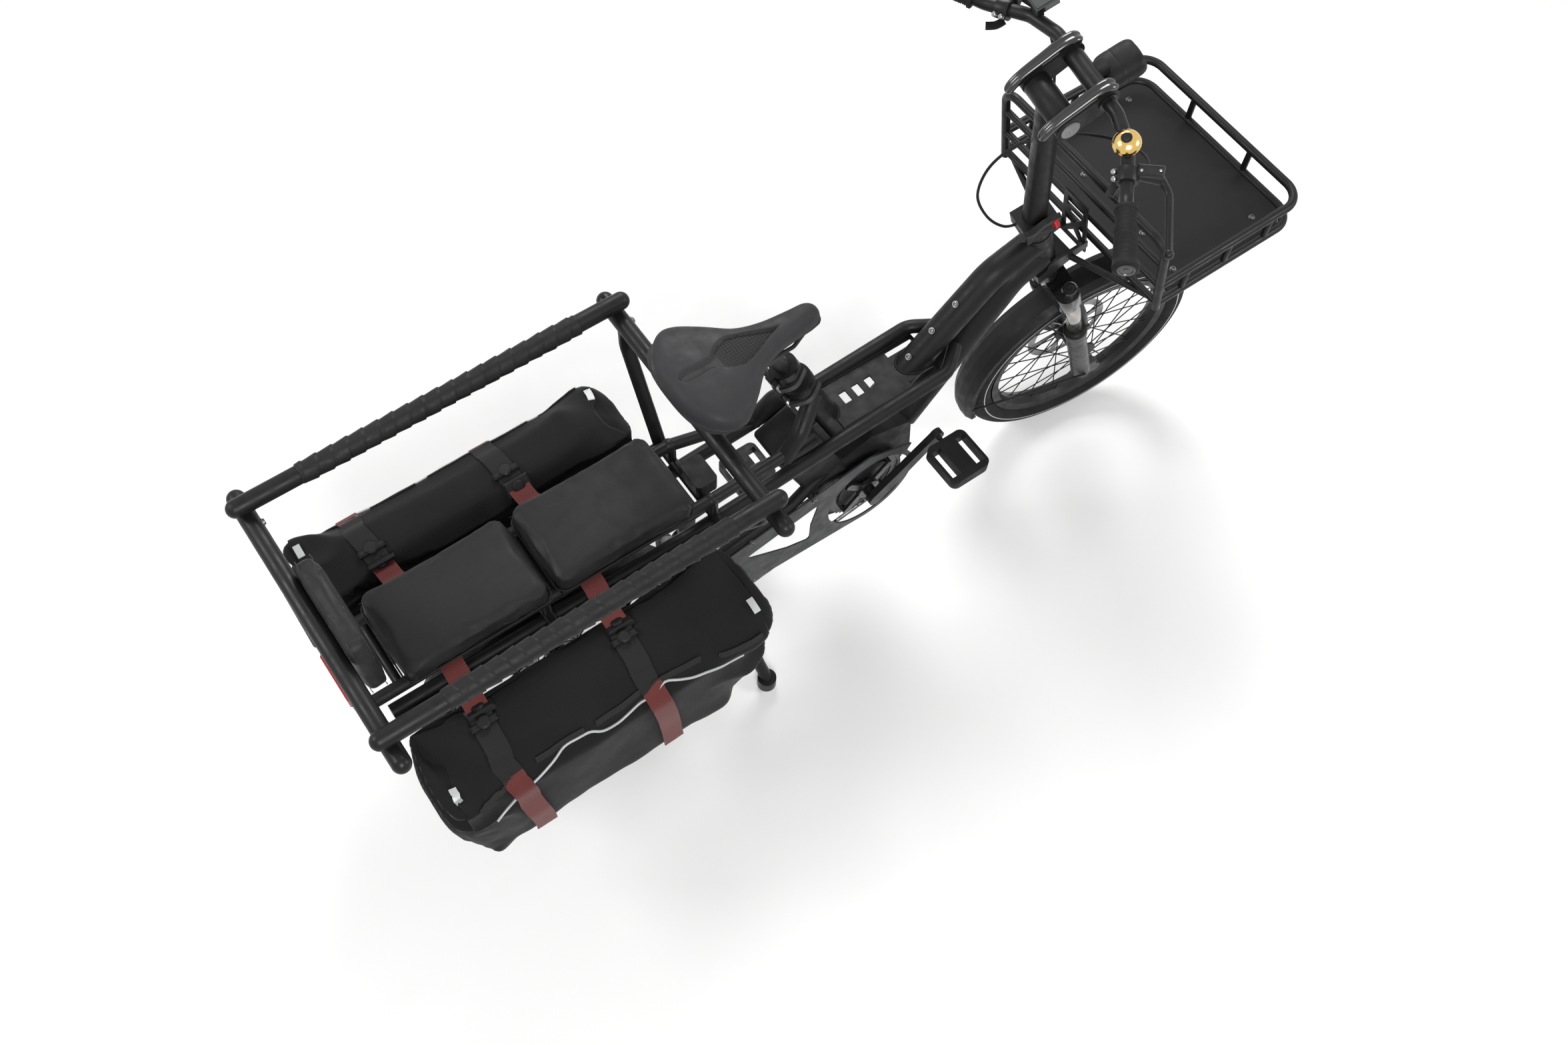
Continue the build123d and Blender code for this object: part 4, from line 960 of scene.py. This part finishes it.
# Grips and controls
GRIP_IN = (63.5, 206.0, 926.0)
GRIP_OUT = (0.6, 309.0, 947.0)
GRIP_CAP = (
    (0.0135, -0.001),
    (0.0135, 0.0010),
    (0.0105, 0.0018),
    (0.0095, 0.0006),
    (0.004, 0.0006),
    (0.004, 0.0014),
)


def grips():
    """Ribbed rubber grips with a broad palm rest and a capped end."""
    for name, side in (("grip_right", -1), ("grip_left", 1)):
        start = steer_point(GRIP_IN[0], side * GRIP_IN[1], GRIP_IN[2])
        end = steer_point(GRIP_OUT[0], side * GRIP_OUT[1], GRIP_OUT[2])
        way = (end - start).normalized()
        place = axis_frame(start, way, steer_way(-1, 0, 0))
        first, last = 0.018, (end - start).length + 0.006
        rows, around = 90, 36
        verts = []
        for row in range(rows):
            share = row / (rows - 1)
            height = first + (last - first) * share
            body = 0.0150 + 0.0022 * share ** 1.5
            rib = 0.0006 * (1 if (share * 34) % 1 < 0.5 else -1) if 0.08 < share < 0.86 else 0.0
            collar = 0.0026 if share < 0.06 or 0.90 < share < 0.985 else 0.0
            for turn in range(around):
                angle = 2 * pi * turn / around
                palm = 0.0035 * share * max(0.0, cos(angle)) ** 2
                radius = min(body + rib + collar + palm, 0.0205)
                if row in (0, rows - 1):
                    radius *= 0.86
                verts.append(place @ Vector((radius * cos(angle), radius * sin(angle), height)))
        made = piece(name, verts, tube_faces(rows, around), "steering", GRIP)
        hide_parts("grips")
        cap = Parts()
        cap.lathe(place @ Matrix.Translation((0, 0, last)), GRIP_CAP, 28)
        cap.make(name + "_cap", "steering", "gloss_plastic", GLOSS)


BELL_BUTTON = ((0.0085, 0), (0.0085, 0.0022), (0.006, 0.0034), (0.004, 0.0026))
BELL_FOOT = ((0.009, -0.004), (0.010, 0.004), (0.012, 0.0085))


def bell():
    """A brass dome bell with a black button on its crown."""
    low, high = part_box("bell")
    middle = (Vector(low) + Vector(high)) / 2
    up = steer_way(0, 0, 1)
    place = axis_frame(middle - up * 0.006, up, (1, 0, 0))
    dome = Parts()
    profile = [(0.0205, -0.004), (0.0218, -0.0035), (0.0218, -0.001)]
    for step in range(1, 11):
        angle = radians(9 * step)
        profile.append((0.0007 + 0.0211 * cos(angle), -0.001 + 0.0165 * sin(angle)))
    dome.lathe(place, profile, 48)
    made = dome.make("bell_dome", "steering", "brass", BRASS, True)
    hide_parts("bell")
    knob = Parts()
    knob.lathe(place @ Matrix.Translation((0, 0, 0.0138)), BELL_BUTTON, 28)
    knob.lathe(place @ Matrix.Translation((0, 0, -0.012)), BELL_FOOT, 24)
    knob.make("bell_button", "steering", "black_plastic", MOULDED, False)


LATCH_LINE = ((30, -33, 612), (8, -35, 622), (-18, -31, 606), (-36, -20, 582))
STEM_CAPS = ((57, 920, 0.0165), (123, 935, 0.0125))


def handlepost_trim():
    """The fold joint's latch with its red button, and the stem arms' grey caps."""
    latch = Parts()
    route = [steer_point(*spot) for spot in LATCH_LINE]
    latch.band(smooth_line(route, 8), steer_way(0.2, -0.3, 1), 0.012, 0.010)
    latch.make("fold_latch", "steering", "dark_alloy", ALLOY)
    button = Parts()
    way = steer_way(0.35, -1, 0.25)
    place = axis_frame(steer_point(24, -33, 610), way, steer_way(0, 0, 1))
    button.block(place, (0.020, 0.010, 0.012), 0.002)
    button.make("fold_button", "steering", "gloss_plastic", RED)
    caps = Parts()
    for side in (-1, 1):
        out = steer_way(0, side, 0)
        for x, z, radius in STEM_CAPS:
            place = axis_frame(steer_point(x, side * 59, z), out, (0, 0, 1))
            rim = [(radius, -0.001), (radius, 0.002), (radius - 0.002, 0.003)]
            caps.lathe(place, rim + [(0.004, 0.003), (0.003, 0.002)], 32)
    caps.make("stem_caps", "steering", "steel", GREY_CAP)


STEM_LINE = ((9, 926), (22, 939), (42, 948.5), (78, 957.5), (110, 965), (131, 964), (144, 954))
STEM_WIDE = ((0.0, 6.0), (0.10, 8.6), (0.35, 9.0), (0.75, 10.6), (0.92, 11.0), (1.0, 8.0))
STEM_Y = 50.0


def stem_levers():
    """Long curved clamp levers on the stem arms, each with a groove and round ends."""
    around = 32
    for name, side in (("stem_lever_right", -1), ("stem_lever_left", 1)):
        line = smooth_line([Vector((x, 0, z)) for x, z in STEM_LINE], 12)
        count = len(line)
        verts = []
        for number, spot in enumerate(line):
            share = number / (count - 1)
            way = (line[min(number + 1, count - 1)] - line[max(number - 1, 0)]).normalized()
            up = Vector((-way.z, 0, way.x))
            end = min(1.0, share / 0.09, (1 - share) / 0.07)
            drawn = max(0.12, (1 - (1 - end) ** 2) ** 0.5)
            wide = eased(STEM_WIDE, share) * drawn
            tall = 6.2 * (0.35 + 0.65 * drawn)
            for turn in range(around):
                angle = 2 * pi * turn / around
                c, n = cos(angle), sin(angle)
                y = wide * abs(c) ** 0.75 * (1 if c > 0 else -1)
                z = tall * abs(n) ** 0.75 * (1 if n > 0 else -1)
                if n > 0:
                    z -= 2.4 * drawn * exp(-(y / 2.6) ** 2)
                place = spot + up * (z - 2.2)
                verts.append(steer_point(place.x, side * STEM_Y + y, place.z))
        piece(name, verts, tube_faces(count, around), "steering", GLOSS)


WIPER_RING = ((0.0225, -0.004), (0.0235, 0), (0.0215, 0.005), (0.0156, 0.008))
FORK_KNOB = (
    (0.0150, -0.004),
    (0.0150, 0.004),
    (0.0125, 0.007),
    (0.0115, 0.007),
    (0.010, 0.005),
    (0.004, 0.005),
    (0.003, 0.008),
)


def fork_trim():
    """Bright stanchions, wiper rings and top knobs on the fork."""
    legs, rings, knobs = Parts(), Parts(), Parts()
    for side in (-1, 1):
        foot = STEER @ Matrix.Translation((0.019, side * 0.063, 0.2155))
        legs.lathe(foot, [(0.01515, 0), (0.01515, 0.132)], 40)
        rings.lathe(foot, WIPER_RING, 40)
        head = STEER @ Matrix.Translation((0.019, side * 0.063, 0.396))
        knobs.lathe(head, FORK_KNOB, 32)
    legs.make("stanchions", "steering", "steel", CHROME, True)
    rings.make("wiper_rings", "steering", "black_plastic", MOULDED, True)
    knobs.make("fork_knobs", "steering", "gloss_plastic", GLOSS, False)


def lamps():
    """The head lamp's lens and bezel, the rear lamp's lens and the display's glass."""
    place = STEER @ Matrix.Translation((0.2105, 0, 0.905)) @ Matrix.Rotation(pi / 2, 4, "Y")
    front = Parts()
    front.lathe(place, [(0.0148, -0.002), (0.0148, 0.0008), (0.012, 0.0022), (0.005, 0.0028)], 36)
    front.make("headlamp_lens", "steering", "gloss_plastic", CLEAR_LENS, True)
    bezel = Parts()
    bezel.lathe(place, [(0.0168, -0.003), (0.0172, 0.0008), (0.0160, 0.0016), (0.0147, 0.0004)], 36)
    bezel.make("headlamp_bezel", "steering", "steel", CHROME, True)
    low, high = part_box("rear_lamp")
    red = Parts()
    middle = (low[0] - 0.0004, 0, (low[2] + high[2]) / 2)
    back = Matrix.Translation(middle) @ Matrix.Rotation(-pi / 2, 4, "Y")
    red.block(back, (high[2] - low[2] - 0.008, high[1] - low[1] - 0.012, 0.005), 0.002)
    red.make("rear_lens", "frame", "gloss_plastic", RED_LENS)
    glass = Parts()
    glass.block(STEER @ Matrix.Translation((0.128, 0.150, 0.9686)), (0.034, 0.058, 0.0016), 0.0006)
    glass.make("display_glass", "steering", "gloss_plastic", SCREEN)


# Welds on the frame
WELDED_TUBES = (
    # upper place, lower place and radius
    ((0.330, 0, 0.667), (0.080, 0, 0.430), 0.027),
    ((-0.030, 0, 0.683), (0.075, 0, 0.438), 0.023),
)
WELD_BEAD = ((0.0006, -0.0018), (0.0024, -0.0011), (0.0029, 0.0), (0.0024, 0.0011), (0.0006, 0.0018))


def weld_line(parts, spots):
    """A ripple of weld through places in turn."""
    for number in range(len(spots) - 1):
        way = spots[number + 1] - spots[number]
        if 0.0003 < way.length < 0.012:
            count = max(1, round(way.length / 0.0026))
            for step in range(count):
                place = spots[number] + way * (step / count)
                parts.lathe(axis_frame(place, way, (0.3, 0.5, 0.8)), WELD_BEAD, 8)


def welds():
    """Weld beads where the tubes and the plate meet."""
    skin = mesh_skin(frame["nodes"]["side_beams"])
    beads = Parts()
    for start, foot, radius in WELDED_TUBES:
        way = (Vector(foot) - Vector(start)).normalized()
        around = axis_frame(start, way, (0, 1, 0))
        spots = []
        for turn in range(97):
            angle = 2 * pi * turn / 96
            place = Vector((cos(angle), sin(angle), 0)) * (radius + 0.0006)
            hit = skin.ray_cast(around @ place, way, 0.3)[0]
            if hit:
                spots.append(hit)
        weld_line(beads, spots)
    for side in (-1, 1):
        spots = []
        for step in range(80):
            start = Vector((0.034 + 0.0027 * step, side * 0.030, 0.5672))
            hit = skin.ray_cast(start, Vector((0, side, 0)), 0.05)[0]
            if hit and abs(hit.y) > 0.040:
                spots.append(hit)
        weld_line(beads, spots)
    beads.make("frame_welds", "frame", "frame_paint", PAINT, True)


# Clamps and levers
SEAT_WAY = Vector((-0.131, 0, 0.305)).normalized()
SEAT_COLLAR = Vector((-0.056, 0, 0.743))
SEAT_CLAMPS = (
    # name, body, height along the post and radius
    ("collar_clamp", "frame", -0.014, 0.029),
    ("post_clamp", "saddle", 0.055, 0.024),
)
CLAMP_BARREL = ((0.0055, -0.020), (0.0065, -0.018), (0.0065, 0.018), (0.0055, 0.020))
CLAMP_NUT = ((0.006, 0), (0.006, 0.004), (0.004, 0.006))
CLAMP_PIVOT = ((0.006, -0.004), (0.006, 0.002), (0.0045, 0.004))


def seat_clamps():
    """A quick clamp behind each collar of the saddle's post."""
    back = Vector((-SEAT_WAY.z, 0, SEAT_WAY.x))
    for name, body, height, radius in SEAT_CLAMPS:
        middle = SEAT_COLLAR + SEAT_WAY * height
        barrel = Parts()
        hold = axis_frame(middle + back * (radius + 0.004), (0, 1, 0), SEAT_WAY)
        barrel.lathe(hold, CLAMP_BARREL, 18)
        barrel.block(hold, (0.018, 0.016, 0.013), 0.002)
        end = middle + back * (radius + 0.004) + Vector((0, -0.024, 0))
        route = [
            end,
            end - back * 0.014 + Vector((0, -0.008, 0)),
            middle + Vector((0, -radius - 0.009, 0)),
            middle - back * (radius * 0.9) + Vector((0, -radius * 0.75 - 0.004, 0)),
        ]
        barrel.band(smooth_line(route, 8), SEAT_WAY, 0.008, 0.005)
        barrel.make(name, body, "dark_alloy", ALLOY)
        nut = Parts()
        nut.lathe(hold @ Matrix.Translation((0, 0, 0.0185)), CLAMP_NUT, 14)
        nut.lathe(axis_frame(end, (0, -1, 0), SEAT_WAY), CLAMP_PIVOT, 14)
        nut.make(name + "_nut", body, "steel", STEEL)


BRAKE_SPOT = (82.3, 178.0, 928.1)
LEVER_ROOT = (14, 0, -4)
LEVER_KNEE = (44, 26, -14)
LEVER_TIP = (-12, 132, -22)
LID_SCREW = ((0.0022, 0), (0.0022, 0.0008), (0.001, 0.0004))
CLAMP_SCREW = ((0.0042, -0.003), (0.0042, 0.003), (0.003, 0.004))


def controls():
    """Fluid reservoirs, clamp screws, a trigger and ball ends on the brake levers."""
    black, screws = Parts(), Parts()
    for side in (-1, 1):
        def at(x, y, z):
            return steer_point(BRAKE_SPOT[0] + x, side * (BRAKE_SPOT[1] + y), BRAKE_SPOT[2] + z)

        up = steer_way(0, 0, 1)
        ahead = at(*LEVER_KNEE) - at(*LEVER_ROOT)
        black.block(axis_frame(at(31, 15, 5), up, ahead), (0.040, 0.019, 0.008), 0.002)
        for reach in (20, 42):
            screws.lathe(axis_frame(at(reach, reach * 0.75 - 7, 9), up, ahead), LID_SCREW, 10)
        ball = [(0.0078 * sin(pi * step / 12), -0.0078 * cos(pi * step / 12)) for step in range(1, 12)]
        black.lathe(axis_frame(at(*LEVER_TIP), up, ahead), ball, 20)
        trigger = [at(-6, -6, -18), at(-20, -4, -20), at(-34, 4, -19)]
        black.band(smooth_line(trigger, 6), steer_way(0.2, side, 0), 0.0065, 0.004)
        for x, y in ((-13, -14), (-19, -4)):
            screws.lathe(axis_frame(at(x, y, 7), steer_way(-0.7, 0, 0.7), ahead), CLAMP_SCREW, 14)
    black.make("control_trim", "steering", "dark_alloy", ALLOY)
    screws.make("control_screws", "steering", "steel", STEEL)


# Cables
HOSE_LINE = (
    (114, 190, 914),
    (130, 152, 898),
    (122, 104, 880),
    (92, 54, 862),
    (66, 26, 850),
    (44, 10, 842),
)
CABLE_LINE = (
    (36, 6, 808),
    (8, 30, 800),
    (-44, 40, 766),
    (-75, 40, 704),
    (-71, 30, 638),
    (-50, 16, 600),
    (-20, 10, 590),
)


def cables():
    """Brake hoses to the post, and a control cable in a loop behind it."""
    lines = [("cable_loop", CABLE_LINE), ("hose_left", HOSE_LINE)]
    lines.append(("hose_right", [(x, -y, z) for x, y, z in HOSE_LINE]))
    for name, line in lines:
        points = [steer_point(*spot) for spot in line]
        made = rod(name, points, 0.0025, "steering", MOULDED, 12)
        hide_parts("control_cables")


def headlamp_pod():
    """A rounded lamp housing with a brow line."""
    rows, around = 40, 48
    verts = []
    for row in range(rows):
        share = row / (rows - 1)
        x = 141.5 + 69.0 * share
        if share < 0.5:
            full = (1 - (1 - 2 * share) ** 4.5) ** 0.5
        else:
            full = 1 - 0.26 * (2 * share - 1) ** 7
        tall = 21.5 * (0.42 + 0.58 * full) * (0.88 + 0.12 * share)
        wide = 31.0 * (0.40 + 0.60 * full)
        for turn in range(around):
            angle = 2 * pi * turn / around
            c, n = cos(angle), sin(angle)
            y = wide * abs(c) ** 0.72 * (1 if c > 0 else -1)
            z = tall * abs(n) ** 0.80 * (1 if n > 0 else -1)
            groove = 0.7 if 0.44 < share < 0.47 else 0.0
            verts.append(steer_point(x, y * (1 - groove / 31), 905 + z * (1 - groove / 22)))
    faces = tube_faces(rows, around)
    made = piece("headlamp_pod", verts, faces, "steering", MOULDED)
    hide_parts("headlamp")
    hold = Parts()
    hold.block(STEER @ Matrix.Translation((0.143, 0, 0.929)), (0.026, 0.022, 0.022), 0.003)
    hold.make("headlamp_bracket", "steering", "black_plastic", MOULDED)


# Small fasteners
TRAY_BOLTS = (
    (0.850, 0.172),
    (0.850, -0.166),
    (0.651, -0.172),
    (0.651, 0.172),
    (0.659, -0.081),
    (0.659, 0.081),
)
GUARD_BOLTS = ((-0.040, 0.400), (-0.180, 0.382))


def fasteners():
    """Bolts on the top tube, tray, rails and guard."""
    top = []
    boss = mount("bottle_boss")
    up = Vector(boss["axis"])
    down = Vector((-up.z, 0, up.x))
    for number in range(3):
        top.append((Vector(boss["pos_m"]) + down * (BOSS_PITCH * number), up))
    bolts("top_tube_bolts", "frame", top)
    tray_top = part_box("rack_tray")[1][2]
    bolts("tray_bolts", "frame", [((x, y, tray_top), (0, 0, 1)) for x, y in TRAY_BOLTS])
    rails = []
    low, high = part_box("crossbars")
    for x in (low[0] + RAIL_R, high[0] - RAIL_R):
        for side in (-1, 1):
            rails.append(((x, side * 0.2197, low[2] - 0.0005), (0, 0, -1)))
            rails.append(((x - 0.0005 + RAIL_R, side * 0.196, low[2] + RAIL_R), (1, 0, 0)))
    bolts("rail_bolts", "frame", rails, 0.005)
    guard_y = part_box("chain_guard")[0][1]
    bolts("guard_bolts", "frame", [((x, guard_y, z), (0, -1, 0)) for x, z in GUARD_BOLTS], 0.005)


# Studio
SOFT_LAMPS = (
    # place, size and watts
    ((-1.4, -2.6, 3.4), 1.6, 105),
    ((1.6, 2.6, 3.6), 1.8, 120),
    ((-2.8, 1.6, 3.0), 1.4, 60),
    ((2.6, -2.2, 2.6), 1.2, 50),
)


def seen_rays(nodes, links):
    """One where a ray comes from the camera, a reflection or a clear piece."""
    rays = nodes.new("ShaderNodeLightPath")
    total = None
    for name in ("Is Camera Ray", "Is Glossy Ray", "Is Transmission Ray"):
        total = joined(nodes, links, "MAXIMUM", total, rays.outputs[name])
    return total


def floor_finish():
    """A pale floor that turns into the white surround away from the object."""
    made = surface("studio_floor", (0.86, 0.86, 0.855), 0.62, patch=1.5, grain=60, spread=0.02)
    nodes, links = made.node_tree.nodes, made.node_tree.links
    place = nodes.new("ShaderNodeTexCoord").outputs["Object"]
    far = nodes.new("ShaderNodeVectorMath")
    far.operation = "LENGTH"
    links.new(place, far.inputs[0])
    rise = nodes.new("ShaderNodeMapRange")
    rise.interpolation_type = "SMOOTHSTEP"
    set_sockets(rise, {"From Min": 1.3, "From Max": 3.2})
    links.new(far.outputs["Value"], rise.inputs["Value"])
    share = joined(nodes, links, "MULTIPLY", rise.outputs["Result"], seen_rays(nodes, links))
    white = nodes.new("ShaderNodeEmission")
    both = nodes.new("ShaderNodeMixShader")
    links.new(share, both.inputs["Fac"])
    links.new(nodes["Principled BSDF"].outputs["BSDF"], both.inputs[1])
    links.new(white.outputs["Emission"], both.inputs[2])
    links.new(both.outputs["Shader"], nodes["Material Output"].inputs["Surface"])
    return made


def studio():
    """A pale floor, soft lamps, a white surround and the camera."""
    floor_mesh = bpy.data.meshes.new("floor")
    wide = 14.0
    corners = [(-wide, -wide, 0), (wide, -wide, 0), (wide, wide, 0), (-wide, wide, 0)]
    floor_mesh.from_pydata(corners, [], [(0, 1, 2, 3)])
    floor = bpy.data.objects.new("floor", floor_mesh)
    floor.location.z = -0.0006
    bpy.context.scene.collection.objects.link(floor)
    floor_mesh.materials.append(floor_finish())
    for number, (place, size, watts) in enumerate(SOFT_LAMPS):
        light = bpy.data.lights.new(f"soft_lamp_{number}", "AREA")
        light.size = size
        light.energy = watts
        lamp = bpy.data.objects.new(f"soft_lamp_{number}", light)
        lamp.location = place
        aim = Vector((-0.1, 0, 0.45)) - Vector(place)
        lamp.rotation_euler = aim.to_track_quat("-Z", "Y").to_euler()
        bpy.context.scene.collection.objects.link(lamp)
    world = bpy.data.worlds.new("white_room")
    bpy.context.scene.world = world
    world.use_nodes = True
    nodes, links = world.node_tree.nodes, world.node_tree.links
    back = nodes["Background"]
    back.inputs["Color"].default_value = (1, 1, 1, 1)
    level = nodes.new("ShaderNodeMapRange")
    set_sockets(level, {"To Min": 0.30, "To Max": 1.0})
    links.new(seen_rays(nodes, links), level.inputs["Value"])
    links.new(level.outputs["Result"], back.inputs["Strength"])
    view = bpy.data.cameras.new("camera")
    view.lens = CAMERA_LENS
    view.sensor_width = 36
    camera = bpy.data.objects.new("camera", view)
    camera.location = CAMERA_PLACE
    camera.rotation_euler = CAMERA_TURN
    bpy.context.scene.collection.objects.link(camera)
    bpy.context.scene.camera = camera
    bpy.context.scene.view_settings.view_transform = "Standard"


dress_solids()
tyre("front_tyre_tread", "front_tyre", "front_wheel_spin", "front_wheel")
tyre("rear_tyre_tread", "rear_tyre", "rear_wheel_spin", "rear_wheel")
rail_tape()
bench_pads()
backrest()
saddle_top()
pannier(-1, "pannier_right")
pannier(1, "pannier_left")
grips()
bell()
handlepost_trim()
stem_levers()
fork_trim()
lamps()
cables()
headlamp_pod()
welds()
seat_clamps()
controls()
fasteners()
studio()
